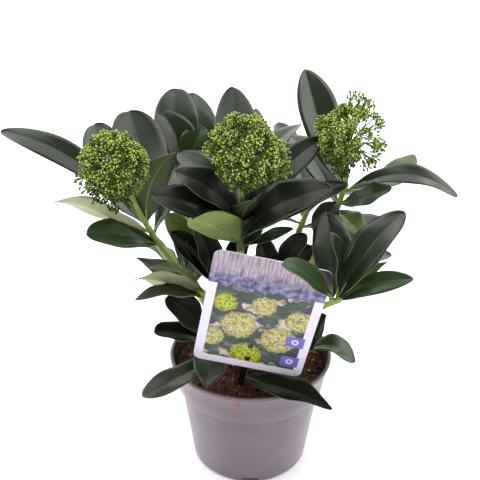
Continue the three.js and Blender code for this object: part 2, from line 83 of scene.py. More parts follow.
def addNode(tree, kind, settings=None, *values, **inputs):
    # values go to the first inputs in turn, the others by name; what comes back is the node's outputs
    made = tree.nodes.new(kind)
    for name, value in (settings or {}).items():
        setattr(made, name, value)
    for socket, value in zip(made.inputs, values):
        feed(tree, socket, value)
    for name, value in inputs.items():
        feed(tree, made.inputs[name.replace("_", " ")], value)
    return made.outputs


def mixColours(tree, factor, first, second):
    made = tree.nodes.new("ShaderNodeMix")
    made.data_type = "RGBA"
    for index, value in ((0, factor), (6, first), (7, second)):
        feed(tree, made.inputs[index], value)
    return made.outputs[2]


def layColours(tree, base, layers):
    # each layer is a mask, how strong it is and its colour
    for mask, share, colour in layers:
        base = mixColours(tree, times(tree, mask, share), base, colour)
    return base


def calc(tree, operation, first, second=0.0, clamp=False):
    return addNode(tree, "ShaderNodeMath", {"operation": operation, "use_clamp": clamp}, first, second)[0]


def times(tree, first, second, clamp=False):
    return calc(tree, "MULTIPLY", first, second, clamp)


def plus(tree, first, second, clamp=False):
    return calc(tree, "ADD", first, second, clamp)


def minus(tree, first, second, clamp=False):
    return calc(tree, "SUBTRACT", first, second, clamp)


def divide(tree, first, second, clamp=False):
    return calc(tree, "DIVIDE", first, second, clamp)


def noiseOn(tree, place, scale, detail=2.0, rough=0.5):
    return addNode(tree, "ShaderNodeTexNoise", Vector=place, Scale=scale, Detail=detail, Roughness=rough)["Fac"]


def remap(tree, value, low, high, start=0.0, end=1.0):
    # low to high becomes start to end
    return addNode(tree, "ShaderNodeMapRange", None, value, low, high, start, end)["Result"]


def shade(colour, share, lift=0.0):
    return tuple(part * share + lift for part in colour)


def newGroup(name, inputs, outputs):
    # a shader group, with the sockets it is given and the sockets of its result
    group = bpy.data.node_groups.new(name, "ShaderNodeTree")
    for label, kind, value in inputs:
        socket = group.interface.new_socket(label, in_out="INPUT", socket_type="NodeSocket" + kind)
        if value is not None:
            socket.default_value = value
    for label in outputs:
        group.interface.new_socket(label, in_out="OUTPUT", socket_type="NodeSocketFloat")
    return group, group.nodes.new("NodeGroupInput").outputs, group.nodes.new("NodeGroupOutput").inputs


def useGroup(tree, group, **inputs):
    return addNode(tree, "ShaderNodeGroup", {"node_tree": group}, **inputs)


def newMaterial(name, **constants):
    # constants are set on the shader's own sockets
    material = bpy.data.materials.new(name)
    material.use_nodes = True
    tree = material.node_tree
    shader = tree.nodes["Principled BSDF"]
    for label, value in constants.items():
        feed(tree, shader.inputs[label.replace("_", " ")], value)
    return material, tree, shader


def objectPlace(tree):
    return addNode(tree, "ShaderNodeTexCoord")["Object"]


# Uneven colour and gloss, the same everywhere something isn't quite clean or even.
def buildMottle():
    group, given, result = newGroup(
        "mottle",
        [("Place", "Vector", None), ("Scale", "Float", 60.0), ("Low", "Float", 0.0), ("High", "Float", 1.0)],
        ["Amount", "Fine"],
    )
    broad = noiseOn(group, given["Place"], given["Scale"], 3.0, rough=0.6)
    finer = times(group, given["Scale"], 6.0)
    feed(group, result["Amount"], remap(group, broad, 0.3, 0.7, given["Low"], given["High"]))
    feed(group, result["Fine"], noiseOn(group, given["Place"], finer))
    return group


mottle = buildMottle()


def mottled(tree, place, scale, low=0.0):
    patch = useGroup(tree, mottle, Place=place, Scale=scale, Low=low, High=1.0)
    return patch["Amount"], patch["Fine"]


def setSurface(tree, shader, colour, fine, gloss, relief=None, height=None):
    # gloss is the roughness where fine is nought and where it is one; relief is a bump's strength and depth
    feed(tree, shader.inputs["Base Color"], colour)
    feed(tree, shader.inputs["Roughness"], remap(tree, fine, 0.0, 1.0, *gloss))
    if relief:
        bump = addNode(tree, "ShaderNodeBump", Strength=relief[0], Distance=relief[1] * mm, Height=height or fine)
        feed(tree, shader.inputs["Normal"], bump["Normal"])


def mottledMaterial(name, low, high, patches, gloss, relief=None, **constants):
    # the plain case: two colours in patches, with an uneven gloss and perhaps a fine relief
    material, tree, shader = newMaterial(name, **constants)
    amount, fine = mottled(tree, objectPlace(tree), patches)
    setSurface(tree, shader, mixColours(tree, amount, low, high), fine, gloss, relief)
    return material


def addObject(name, mesh, materials):
    for material in materials:
        mesh.materials.append(material)
    made = bpy.data.objects.new(name, mesh)
    bpy.context.scene.collection.objects.link(made)
    return made


def finishPiece(name, bm, materials, smooth=True):
    mesh = bpy.data.meshes.new(name)
    bm.to_mesh(mesh)
    bm.free()
    if smooth:
        mesh.shade_smooth()
    return addObject(name, mesh, materials)


def joinCopies(name, shapes, copies, materials):
    # copies lists (which shape, 4 by 4 place, first material); all of them become one mesh
    corners, faces, paints, start = [], [], [], 0
    stock = []
    for shape in shapes:
        stock.append((np.array([v.co[:] for v in shape.verts]), [[v.index for v in f.verts] for f in shape.faces],
                      [f.material_index for f in shape.faces]))
        shape.free()
    for pick, place, paint in copies:
        spots, shapeFaces, tones = stock[pick]
        corners.append(spots @ np.array(place.to_3x3()).T + np.array(place.translation))
        faces.extend([[i + start for i in face] for face in shapeFaces])
        paints.extend([paint + tone for tone in tones])
        start += len(spots)
    mesh = bpy.data.meshes.new(name)
    mesh.from_pydata(np.concatenate(corners).tolist(), [], faces)
    made = addObject(name, mesh, materials)
    mesh.polygons.foreach_set("material_index", paints)
    mesh.shade_smooth()
    return made


def seeded(seed):
    # numbers from 0 to 1, the same in every run
    state = seed * 7919

    def number():
        nonlocal state
        state = state * 16807 % 2147483647
        return state / 2147483647
    return number


def blend(low, high, share):
    return low + (high - low) * share


def ease(low, high, value):
    share = min(max((value - low) / (high - low), 0), 1)
    return share * share * (3 - 2 * share)


# White panels over, beside and behind the plant; the side towards the view is left dim.
studio = {
    "world": (0.97, 0.96, 1.0), "worldStrength": 0.27, "floor": (0.94, 0.93, 0.955), "floorSize": 14,
    "aim": (0, 0, 0.18),
    "panels": {
        "over": {"place": (0, 0.45, 2.6), "size": (4.2, 5.0), "power": 128},
        "left": {"place": (-1.7, 0.3, 1.1), "size": (2.0, 2.0), "power": 42},
        "right": {"place": (1.7, 0.3, 1.1), "size": (2.0, 2.0), "power": 38},
        "behind": {"place": (0, 2.6, 1.4), "size": (4.0, 2.4), "power": 50},
    },
}


def lightStudio():
    world = bpy.data.worlds.new("studioWorld")
    world.use_nodes = True
    back = world.node_tree.nodes["Background"]
    back.inputs["Color"].default_value = (*studio["world"], 1)
    back.inputs["Strength"].default_value = studio["worldStrength"]
    bpy.context.scene.world = world
    for name, panel in studio["panels"].items():
        lamp = bpy.data.lights.new(name + "Panel", "AREA")
        lamp.shape = "RECTANGLE"
        lamp.size, lamp.size_y = panel["size"]
        lamp.energy = panel["power"]
        holder = bpy.data.objects.new(name + "Panel", lamp)
        bpy.context.scene.collection.objects.link(holder)
        aim = (Vector(studio["aim"]) - Vector(panel["place"])).to_track_quat("-Z", "Y")
        holder.matrix_world = Matrix.Translation(panel["place"]) @ aim.to_matrix().to_4x4()
        holder.visible_camera = False
    bpy.context.scene.view_settings.view_transform = "Standard"
    bm = bmesh.new()
    bmesh.ops.create_grid(bm, x_segments=1, y_segments=1, size=studio["floorSize"] / 2)
    paper = newMaterial("paleFloor", Base_Color=studio["floor"], Roughness=0.9)[0]
    finishPiece("studioFloor", bm, [paper])


lightStudio()
print("studio ready")

# The plant, in millimetres. Each shoot has the height where its bough leaves the trunk, its stem's
# foot and tip, and its flower head. Each leaf has its distance down the stem, its bearing and rise,
# its length and width, its arch, sweep and curl as shares of the length, its roll, tone and outline.
trunk = {"foot": (0, 0, 85.3), "bend": (1, 0, 118), "top": (-5, -8, 150), "footRadius": 6.6, "topRadius": 4.2,
         "flare": 3.0, "flareFade": 9.0, "buttresses": 5, "ridges": 0.35}
bough = {"baseRadius": 3.1, "tipRadius": 2.5, "arrival": 0.45, "checks": 8}
stem = {"footRadius": 2.5, "tipRadius": 1.9, "neckSteps": 12, "neckReach": 0.8, "neckEnd": 1.2}
spiral = {"turn": goldenTurn, "unsteady": 15, "ends": 3, "topRise": 60, "fall": 1.6, "riseSpread": 8,
          "long": (54, 78), "slender": (0.32, 0.4), "arch": (0.01, 0.08), "roll": 18, "sweep": 0.05}
spacing = {"along": (0.3, 0.5, 0.75, 1), "leaf": 14, "bough": 13, "head": 36, "front": -22, "frontTop": 235}
# a blade's outline: how far out its widest part is, and how blunt its tip is.
outlines = {"blunt": (1.4, 0.55), "sharp": (0.95, 0.85), "round": (1.6, 0.42)}


def leafRow(down, turn, rise, long, wide, arch=0.0, roll=0.0, sweep=0.0, curl=0.0, tone="deep", form="blunt"):
    return {"down": down, "turn": turn, "rise": rise, "long": long, "wide": wide, "arch": arch, "roll": roll,
            "sweep": sweep, "curl": curl, "tone": tone, "form": form}


shoots = {
    "left": {
        "fork": 120, "foot": (-68, -12, 195), "tip": (-78, -20, 220), "more": 5, "seed": 3,
        "head": {"centre": (-94, -36, 270), "wide": 27, "tall": 27},
        "leaves": [
            leafRow(2, 104, 49, 90, 40, arch=-0.07, sweep=-0.04, form="round"),
            leafRow(3, 131, 47, 86, 34, arch=-0.07, roll=-5, sweep=0.07, form="round"),
            leafRow(4, 326, 66, 70, 22, arch=0.02, roll=-60, sweep=-0.11, tone="dusky", form="sharp"),
            leafRow(-6, 165, 28, 119, 19, arch=0.07, roll=-45, sweep=-0.06),
            leafRow(11, 205, 34, 80, 16, arch=-0.02, roll=55, curl=-0.12, tone="pale"),
            leafRow(25, 220, 26, 64, 24, arch=0.03, roll=-38, sweep=-0.02, tone="fresh", form="round"),
        ],
    },
    "centre": {
        "fork": 150, "foot": (-9, -24, 200), "tip": (-9, -36, 238), "more": 2, "seed": 5,
        "head": {"centre": (-5, -48, 284), "wide": 29, "tall": 29},
        "leaves": [
            leafRow(2, 95, 52, 93, 31, arch=-0.07),
            leafRow(3, 82, 36, 91, 22, arch=-0.05, sweep=-0.03),
            leafRow(4, 163, 42, 60, 22, arch=0.1, roll=-30),
            leafRow(5, 58, 29, 94, 22, sweep=0.09),
            leafRow(6, 21, 39, 79, 20, arch=0.05, roll=50, sweep=0.03),
            leafRow(7, 44, 29, 76, 24, arch=0.06, roll=25, sweep=0.06),
            leafRow(12, 205, 45, 66, 25, arch=0.1, roll=-45, tone="shaded"),
            leafRow(18, 202, 30, 72, 25, arch=0.1, roll=-45, tone="shaded"),
            leafRow(30, 334, 40, 84, 29, arch=0.13, roll=45, tone="shaded"),
            leafRow(24, 359, 29, 84, 19, arch=0.06, roll=40, tone="shaded"),
            leafRow(34, 238, 38, 77, 33, arch=0.02, roll=34, sweep=-0.01, tone="youngBacklit", form="sharp"),
            leafRow(18, 300, 60, 32, 20, arch=0.04, roll=-10, sweep=-0.05, tone="dusky"),
            leafRow(36, 338, 29, 44, 8, arch=-0.02, roll=50, tone="fresh"),
            leafRow(38, 0, 52, 27, 13, arch=0.03, roll=45, tone="fresh"),
            leafRow(39, 292, 64, 36, 18, arch=0.05, tone="inner"),
        ],
    },
    "right": {
        "fork": 120, "foot": (61, 0, 216), "tip": (68, 0, 240), "more": 5, "seed": 12,
        "head": {"centre": (67, -10, 281), "wide": 26, "tall": 31},
        "leaves": [
            leafRow(2, 137, 65, 91, 33, arch=-0.05, roll=-15, sweep=0.02),
            leafRow(4, 35, 11, 75, 19, arch=-0.04, roll=20, sweep=-0.1, tone="youngBacklit"),
            leafRow(6, 353, 3, 83, 16, arch=0.12, roll=38, sweep=0.125),
            leafRow(12, 197, -49, 32, 18, arch=0.06, roll=-40, form="sharp"),
            leafRow(15, 328, 31, 45, 16, arch=0.0, roll=40, sweep=-0.05, tone="fresh"),
            leafRow(20, 304, -16, 28, 20, arch=0.05, roll=10, tone="youngBacklit"),
        ],
    },
    "lower_right": {
        "fork": 104, "foot": (47, -45, 163), "tip": (58, -70, 184), "more": 0, "seed": 9,
        "leaves": [
            leafRow(1, 137, 84, 51, 13, arch=0.02, roll=10, sweep=-0.05),
            leafRow(3, 8, 58, 78, 27, arch=0.04, roll=30, sweep=0.02),
            leafRow(4, 8, 41, 45, 9, arch=0.07, roll=30, tone="youngBacklit", form="sharp"),
            leafRow(2.5, 220, 44, 68, 20, arch=0.02, roll=-45, sweep=-0.02, tone="fresh"),
            leafRow(6, 344, 28, 58, 15, arch=0.08, roll=50, sweep=0.04, tone="fresh"),
            leafRow(11, 94, 60, 64, 27, arch=0.03, sweep=-0.02),
        ],
    },
    "lower_left": {
        "fork": 106, "foot": (-28, -26, 153), "tip": (-38, -34, 169), "more": 1, "seed": 11,
        "leaves": [
            leafRow(2, 169, 29, 55, 17, arch=0.02, roll=-20, form="sharp"),
            leafRow(8, 208, 42, 58, 12, arch=0.13, roll=-12, tone="youngBacklit", form="sharp"),
            leafRow(5, 201, 28, 58, 21, arch=0.05, roll=60, tone="pale", form="sharp"),
            leafRow(8, 211, 18, 59, 17, arch=0.09, roll=-10, form="sharp"),
        ],
    },
    "inner_left": {
        "fork": 136, "tone": "inner", "foot": (-23, -6, 145), "tip": (-27, -8, 163), "more": 1, "seed": 13,
        "leaves": [
            leafRow(1, 143, 69, 45, 24, arch=0.03, tone="inner"),
            leafRow(2, 25, 56, 47, 18, arch=0.03, roll=25, sweep=-0.03, tone="inner"),
            leafRow(3, 137, 46, 48, 20, arch=0.03, sweep=-0.05, tone="inner"),
            leafRow(5, 156, 47, 56, 22, arch=0.03, roll=-20, sweep=-0.05, tone="inner"),
            leafRow(4, 144, 46, 68, 20, arch=0.02, roll=-30, tone="youngBacklit", form="round"),
        ],
    },
    "inner_right": {
        "fork": 136, "tone": "inner", "foot": (16, -10, 149), "tip": (23, -15, 174), "more": 1, "seed": 15,
        "leaves": [
            leafRow(3, 21, 62, 38, 23, arch=0.03, roll=10, sweep=0.04, tone="inner"),
            leafRow(5, 131, 50, 33, 22, arch=0.03, sweep=0.15, tone="inner"),
            leafRow(7, 39, 35, 38, 18, arch=0.03, roll=10, tone="inner"),
        ],
    },
    "rim_left": {
        "fork": 94, "tone": "inner", "foot": (-26, -16, 98), "tip": (-35, -25, 126), "more": 0, "seed": 17,
        "leaves": [
            leafRow(1, 191, 53, 47, 27, arch=0.03, roll=-35, sweep=-0.04, tone="inner", form="round"),
            leafRow(4, 203, 24, 45, 19, arch=0.02, roll=-20, tone="inner", form="round"),
            leafRow(15, 265, -19, 37, 25, arch=0.03, roll=-11, tone="dusky", form="sharp"),
            leafRow(26, 228, 4, 76, 19, arch=0.01, roll=-22, sweep=0.02, tone="dusky", form="round"),
        ],
    },
    "rim_front": {
        "fork": 91, "foot": (-4, -16, 89), "tip": (-6, -30, 91), "more": 0, "seed": 19,
        "leaves": [
            leafRow(1, 324, 6, 79, 25, arch=0.01, roll=4, tone="inner", form="sharp"),
        ],
    },
    "rim_right": {
        "fork": 93, "foot": (38, -10, 99), "tip": (45, -15, 106), "more": 0, "seed": 21,
        "leaves": [
            leafRow(1, 12, 68, 34, 27, arch=0.03, sweep=-0.11, tone="inner"),
            leafRow(2, 339, 1, 39, 22, arch=0.25, roll=5, sweep=0.02, tone="fresh"),
        ],
    },
    "back_left": {
        "fork": 126, "foot": (-44, 33, 209), "tip": (-53, 40, 226), "more": 9, "seed": 24,
        "leaves": [
            leafRow(1, 38, 69, 46, 25, arch=0.04, roll=45, sweep=0.0, tone="fresh", form="round"),
            leafRow(2, 150, 70, 61, 29, arch=0.05, roll=-30, sweep=-0.08),
            leafRow(4, 106, 70, 76, 34, arch=0.04, sweep=0.06, form="round"),
            leafRow(5, 86, 57, 77, 30, arch=0.03, sweep=-0.1),
        ],
    },
    "back_right": {"fork": 130, "foot": (38, 42, 180), "tip": (52, 56, 212), "more": 14, "seed": 25, "leaves": []},
    "back": {"fork": 116, "foot": (-5, 56, 160), "tip": (-6, 76, 198), "more": 14, "seed": 28, "leaves": []},
    "low_back_left": {
        "fork": 102, "foot": (-42, 34, 126), "tip": (-62, 48, 152), "more": 12, "seed": 29,
        "leaves": [],
    },
    "low_back_right": {
        "fork": 106, "foot": (46, 30, 124), "tip": (64, 44, 148), "more": 12, "seed": 98,
        "leaves": [],
    },
    "low_back": {"fork": 96, "foot": (5, 38, 108), "tip": (8, 64, 132), "more": 12, "seed": 33, "leaves": []},
}


def curvePoint(points, share):
    start, bend, end = (Vector(p) for p in points)
    return start * (1 - share) ** 2 + bend * 2 * share * (1 - share) + end * share ** 2


def trunkPoint(share):
    return curvePoint((trunk["foot"], trunk["bend"], trunk["top"]), share)


def boughPoints(shoot):
    # the three points that a bough's curve runs by, arriving in line with its shoot's stem
    foot = Vector(shoot["foot"])
    heading = (Vector(shoot["tip"]) - foot).normalized()
    height = trunk["top"][2] - trunk["foot"][2]
    start = trunkPoint(min((shoot["fork"] - trunk["foot"][2]) / height, 1))
    return start, foot - heading * bough["arrival"] * (start - foot).length, foot


def leafAxes(leaf):
    turn, rise = math.radians(leaf["turn"]), math.radians(leaf["rise"])
    along = Vector((math.cos(rise) * math.cos(turn), math.cos(rise) * math.sin(turn), math.sin(rise)))
    across = Vector((0, 0, 1)).cross(along).normalized()
    across.rotate(Matrix.Rotation(math.radians(leaf["roll"]), 3, along))
    return along, across, along.cross(across)


def leafRoot(shoot, down):
    tip = Vector(shoot["tip"])
    towards = Vector(shoot["head"]["centre"] if down < 0 and "head" in shoot else shoot["foot"])
    return tip + (towards - tip).normalized() * abs(down)


def spiralLeaf(shoot, index, random):
    def between(limits):
        return blend(*limits, random())

    def either(most):
        return (random() * 2 - 1) * most
    stemLength = (Vector(shoot["foot"]) - Vector(shoot["tip"])).length
    down = between((spiral["ends"], stemLength - spiral["ends"]))
    long = between(spiral["long"])
    turn = shoot["seed"] * 40 + index * spiral["turn"] + either(spiral["unsteady"])
    rise = spiral["topRise"] - spiral["fall"] * down + either(spiral["riseSpread"])
    leaf = leafRow(down, turn, rise, long, long * between(spiral["slender"]), arch=between(spiral["arch"]))
    leaf["roll"] = either(spiral["roll"])
    leaf["sweep"] = either(spiral["sweep"])
    # a shoot's tone, such as the painted shade of the inner shoots, goes to its extra leaves
    leaf["tone"] = "fresh" if index % 3 == 1 else shoot.get("tone", "deep")
    return leaf


def pointsAlong(shoot, leaf):
    root, along = leafRoot(shoot, leaf["down"]), leafAxes(leaf)[0]
    return [root + along * leaf["long"] * share for share in spacing["along"]]


def hasRoom(points, taken, limbs, heads):
    for point in points:
        if any((point - other).length <= spacing["leaf"] for other in taken):
            return False
        if any((point - other).length <= spacing["bough"] for other in limbs):
            return False
        if any((point - Vector(head["centre"])).length <= spacing["head"] for head in heads):
            return False
        if point.y <= spacing["front"] and point.z <= spacing["frontTop"]:
            return False
    return True


def planLeaves():
    plan = {name: list(shoot["leaves"]) for name, shoot in shoots.items()}
    taken = [p for name in shoots for leaf in plan[name] for p in pointsAlong(shoots[name], leaf)]
    checks = bough["checks"]
    limbs = [curvePoint(boughPoints(shoot), i / checks) for shoot in shoots.values() for i in range(checks + 1)]
    heads = [shoot["head"] for shoot in shoots.values() if "head" in shoot]
    for name, shoot in shoots.items():
        random = seeded(shoot["seed"])
        for index in range(shoot["more"]):
            leaf = spiralLeaf(shoot, index, random)
            points = pointsAlong(shoot, leaf)
            if hasRoom(points, taken, limbs, heads):
                plan[name].append(leaf)
                taken.extend(points)
    return plan


leafPlan = planLeaves()
print("leaves planned:", sum(len(leaves) for leaves in leafPlan.values()))

# Leaf blades: a folded grid for each leaf, with a groove for the midrib and a slow wave in the margins.
leafLook = {
    "steps": 24, "crowding": 1.5, "columns": 10, "spread": 0.35, "fold": 0.25, "groove": 0.5, "grooveReach": 1.4,
    "footShare": 0.2, "footCurve": 0.6, "petiole": 1.0, "edge": 0.1, "wave": 1.1, "twist": 10, "twistFrom": 0.3,
    "droop": 0.05, "curlFrom": 0.6, "curlRate": 6, "thickness": 0.45, "veins": 18.0, "coat": 0.4,
    "face": {"patches": 45.0, "dark": 0.72, "gloss": (0.26, 0.4), "relief": (0.22, 0.4), "tint": 0.7,
             "light": (1.5, 0.003), "pitted": 0.25, "Veins": (0.06, screen(112, 126, 80)),
             "Midrib": (0.45, screen(126, 136, 88)), "Margin": (0.4, screen(140, 148, 100))},
    "back": {"patches": 60.0, "dark": 0.85, "gloss": (0.5, 0.7), "relief": (0.3, 0.4), "pitted": 0.3,
             "Veins": (0.2, screen(196, 206, 160)), "Midrib": (0.7, screen(188, 204, 140))},
}
# Inner and shaded are painted shade: darker, duller copies of the leaf green for leaves deep in the bush and under the
# centre head.
leafTones = {
    "deep": {"face": screen(26, 37, 18), "back": screen(108, 116, 82), "shine": 0.46},
    "inner": {"face": screen(13, 19, 9), "back": screen(66, 78, 46), "shine": 0.06},
    "shaded": {"face": screen(18, 24, 15), "back": screen(60, 70, 46), "shine": 0.3},
    "dusky": {"face": screen(30, 38, 23), "back": screen(72, 82, 48), "shine": 0.45},
    "fresh": {"face": screen(30, 54, 14), "back": screen(120, 136, 80), "shine": 0.4},
    # the young tone: a lighter green, partly the young leaves' own tint and partly painted light shining through leaves
    # lit from behind
    "youngBacklit": {"face": screen(62, 80, 22), "back": screen(120, 136, 72), "shine": 0.3},
    "pale": {"face": screen(42, 58, 26), "back": screen(182, 186, 148), "shine": 0.4},
}
tones = list(leafTones)
# shares of the blade: how wide each line is, how far side veins lean and waver, where the margin begins
veinLook = {"midrib": 0.02, "runsOut": 1.25, "lean": 0.42, "waves": 7.0, "waver": 0.03, "line": 0.09, "fade": 1.9,
            "marginFrom": 0.485, "margin": 0.015}


def buildLeafVeins():
    # midrib, side veins and margin worked out from the blade's own map: along in X, across in Y
    look = veinLook
    group, given, result = newGroup("leafVeins", [("Map", "Vector", None), ("Count", "Float", 9.0)],
                                    ["Midrib", "Veins", "Margin"])
    split = addNode(group, "ShaderNodeSeparateXYZ", Vector=given["Map"])
    side = calc(group, "ABSOLUTE", minus(group, split["Y"], 0.5))
    thin = times(group, look["midrib"], minus(group, look["runsOut"], split["X"]))
    slant = minus(group, split["X"], times(group, side, look["lean"]))
    waver = noiseOn(group, given["Map"], look["waves"], 1.0)
    bent = plus(group, slant, times(group, waver, look["waver"]))
    phase = calc(group, "PINGPONG", times(group, bent, given["Count"]), 0.5)
    veins = minus(group, 1.0, divide(group, phase, look["line"]), clamp=True)
    inward = minus(group, 1.0, times(group, side, look["fade"]))
    feed(group, result["Midrib"], minus(group, 1.0, divide(group, side, thin), clamp=True))
    feed(group, result["Veins"], times(group, veins, inward))
    outward = minus(group, side, look["marginFrom"])
    feed(group, result["Margin"], divide(group, outward, look["margin"], clamp=True))
    return group


leafVeins = buildLeafVeins()


def leafMaterial(tone, side):
    look, colour, shine = leafLook[side], leafTones[tone][side], leafTones[tone]["shine"]
    gloss = {"Specular_IOR_Level": 0.3}
    if side == "face":
        gloss = {"Specular_IOR_Level": shine, "Coat_Weight": shine * leafLook["coat"], "Coat_Roughness": 0.3}
    material, tree, shader = newMaterial(tone + "Leaf" + side.title(), **gloss)
    blade = addNode(tree, "ShaderNodeTexCoord")
    veins = useGroup(tree, leafVeins, Map=blade["UV"], Count=leafLook["veins"])
    amount, fine = mottled(tree, blade["Object"], look["patches"])
    base = mixColours(tree, amount, shade(colour, look["dark"]), colour)
    pits = times(tree, fine, look["pitted"])
    if side == "face":
        tint = addNode(tree, "ShaderNodeAttribute", {"attribute_name": "tint"})["Fac"]
        base = layColours(tree, base, [(tint, look["tint"], shade(colour, *look["light"]))])
        height = minus(tree, pits, veins["Veins"])
        height = minus(tree, height, veins["Midrib"])
    else:
        height = plus(tree, veins["Veins"], pits)
    lines = [(veins[part], *look[part]) for part in ("Veins", "Midrib", "Margin") if part in look]
    setSurface(tree, shader, layColours(tree, base, lines), fine, look["gloss"], look["relief"], height)
    return material


leafMaterials = [leafMaterial(tone, side) for tone in tones for side in ("face", "back")]


def leafMiddle(leaf, root, axes, share):
    along, across, out = axes
    bow = leaf["long"] * 4 * share * (1 - share)
    curl = leaf["long"] * max(share - leafLook["curlFrom"], 0) ** 2 * leafLook["curlRate"]
    curl *= leaf["curl"] or -leafLook["droop"]
    return root + along * leaf["long"] * share + across * leaf["sweep"] * bow + out * (leaf["arch"] * bow + curl)


def leafHalfWidth(leaf, share):
    reach, blunt = outlines[leaf["form"]]
    outline = max(math.sin(math.pi * share ** reach), 0) ** blunt
    blade = leaf["wide"] / 2 * outline * min(share / leafLook["footShare"], 1) ** leafLook["footCurve"]
    return max(blade, leafLook["petiole"] * (1 - share)) + leafLook["edge"]


def addLeaf(bm, tintLayer, shoot, leaf, random):
    look, axes = leafLook, leafAxes(leaf)
    across, out = axes[1:]
    root = leafRoot(shoot, leaf["down"])
    made = bmesh.ops.create_grid(bm, x_segments=look["steps"], y_segments=look["columns"], size=1, calc_uvs=True)
    phase, waves, twist = random() * 6, 1.5 + random(), (random() - 0.5) * 2 * look["twist"]
    tint = random()
    for vertex in made["verts"]:
        share, side = 1 - ((1 - vertex.co.x) / 2) ** look["crowding"], vertex.co.y
        side *= abs(side) ** look["spread"]
        half = leafHalfWidth(leaf, share)
        lift = abs(side) * half * look["fold"]
        hollow = max(1 - abs(side) * half / look["grooveReach"], 0)
        lift -= look["groove"] * hollow * ease(0.0, 0.1, share) * (1 - share)
        ripple = math.sin(fullTurn * waves * share + phase + side)
        lift += side * side * look["wave"] * ripple * ease(0.1, 0.4, share)
        lift += side * half * math.tan(math.radians(twist * (share - look["twistFrom"])))
        vertex.co = (leafMiddle(leaf, root, axes, share) + across * side * half + out * lift) * mm
        vertex[tintLayer] = tint
    for face in {f for v in made["verts"] for f in v.link_faces}:
        face.material_index = tones.index(leaf["tone"]) * 2
        face.smooth = True


def growLeaves(name, shoot):
    bm = bmesh.new()
    bm.loops.layers.uv.verify()
    tintLayer = bm.verts.layers.float.new("tint")
    random = seeded(shoot["seed"] + 200)
    for leaf in leafPlan[name]:
        addLeaf(bm, tintLayer, shoot, leaf, random)
    piece = finishPiece("leafBlades_" + name, bm, leafMaterials)
    skin = piece.modifiers.new("bladeThickness", "SOLIDIFY")
    skin.thickness = leafLook["thickness"] * mm
    skin.offset = -1
    skin.material_offset = 1
    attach(piece, "root")
    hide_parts("leaves_" + name)


for shootName in shoots:
    growLeaves(shootName, shoots[shootName])
print("leaves grown")

# Stems: one round skin drawn along a line of points, ring by ring.
bark = {"sides": 14, "trunkSides": 30, "trunkSteps": 34, "relief": 0.35,
        "furrow": (0.45, 0.45, 0.12), "knob": 0.22, "trunkRelief": 0.56,
        "stepLong": 4, "knotEvery": 4, "knot": 1.09, "greenAfter": 62, "oldest": 0.95, "youngest": 0.05,
        "trunkYoung": 0.35, "trunkCap": (-0.5, -1, 2), "trunkCapWide": 0.5, "patches": 260.0,
        "turnsOld": (0.45, 0.85), "gloss": (0.42, 0.85), "bumps": (0.5, 0.6),
        "old": screen(116, 98, 74), "ridge": screen(150, 134, 104), "green": screen(134, 156, 78),
        "fresh": screen(160, 180, 96)}


def ringMatrices(spine, radii):
    # a place for each ring, turned to follow the line without twisting
    ahead = (spine[1] - spine[0]).normalized()
    right = ahead.orthogonal().normalized()
    matrices = []
    for i, point in enumerate(spine):
        ahead = (spine[min(i + 1, len(spine) - 1)] - spine[max(i - 1, 0)]).normalized()
        right = (right - ahead * right.dot(ahead)).normalized()
        turn = Matrix((right, ahead.cross(right), ahead)).transposed().to_4x4()
        matrices.append(Matrix.Translation(point * mm) @ turn @ Matrix.Scale(radii[i] * mm, 4))
    return matrices


def addTube(bm, spine, radii, sides, age=None):
    # age is a layer and a value for each ring
    matrices = ringMatrices(spine, radii)
    ring = bmesh.ops.create_circle(bm, cap_ends=True, segments=sides, radius=1)["verts"]
    bmesh.ops.transform(bm, matrix=matrices[0], verts=ring)
    edges = list(dict.fromkeys(e for v in ring for e in v.link_edges))
    rings = [ring]
    for before, after in zip(matrices, matrices[1:]):
        grown = bmesh.ops.extrude_edge_only(bm, edges=edges)["geom"]
        rings.append([g for g in grown if isinstance(g, bmesh.types.BMVert)])
        edges = [g for g in grown if isinstance(g, bmesh.types.BMEdge)]
        bmesh.ops.transform(bm, matrix=after @ before.inverted(), verts=rings[-1])
    bmesh.ops.contextual_create(bm, geom=edges)
    if age:
        for ring, value in zip(rings, age[1]):
            for vertex in ring:
                vertex[age[0]] = value
    return [vertex for ring in rings for vertex in ring]


def barkMaterial():
    material, tree, shader = newMaterial("barkAndGreenStem", Specular_IOR_Level=0.35)
    age = addNode(tree, "ShaderNodeAttribute", {"attribute_name": "age"})
    stretch = addNode(tree, "ShaderNodeMapping", Vector=objectPlace(tree), Scale=(1, 1, 0.3))
    amount, fine = mottled(tree, stretch["Vector"], bark["patches"])
    old = mixColours(tree, amount, bark["old"], bark["ridge"])
    green = mixColours(tree, amount, bark["green"], bark["fresh"])
    ragged = plus(tree, age["Fac"], times(tree, amount, 0.25))
    oldness = remap(tree, ragged, *bark["turnsOld"])
    setSurface(tree, shader, mixColours(tree, oldness, green, old), oldness, bark["gloss"], bark["bumps"], fine)
    return material


barkSkin = barkMaterial()


def roughen(verts, ageLayer, relief):
    # furrows and knobs, deepest where the bark is old
    for vertex in verts:
        vertex.normal_update()
    moved = []
    for vertex in verts:
        spot = vertex.co / mm
        furrow = noise.noise(spot * Vector(bark["furrow"]))
        knob = noise.noise(spot * bark["knob"] + Vector((9, 3, 5)))
        depth = relief * (0.25 + vertex[ageLayer]) * (furrow + knob)
        moved.append((vertex, vertex.co + vertex.normal * depth * mm))
    for vertex, place in moved:
        vertex.co = place


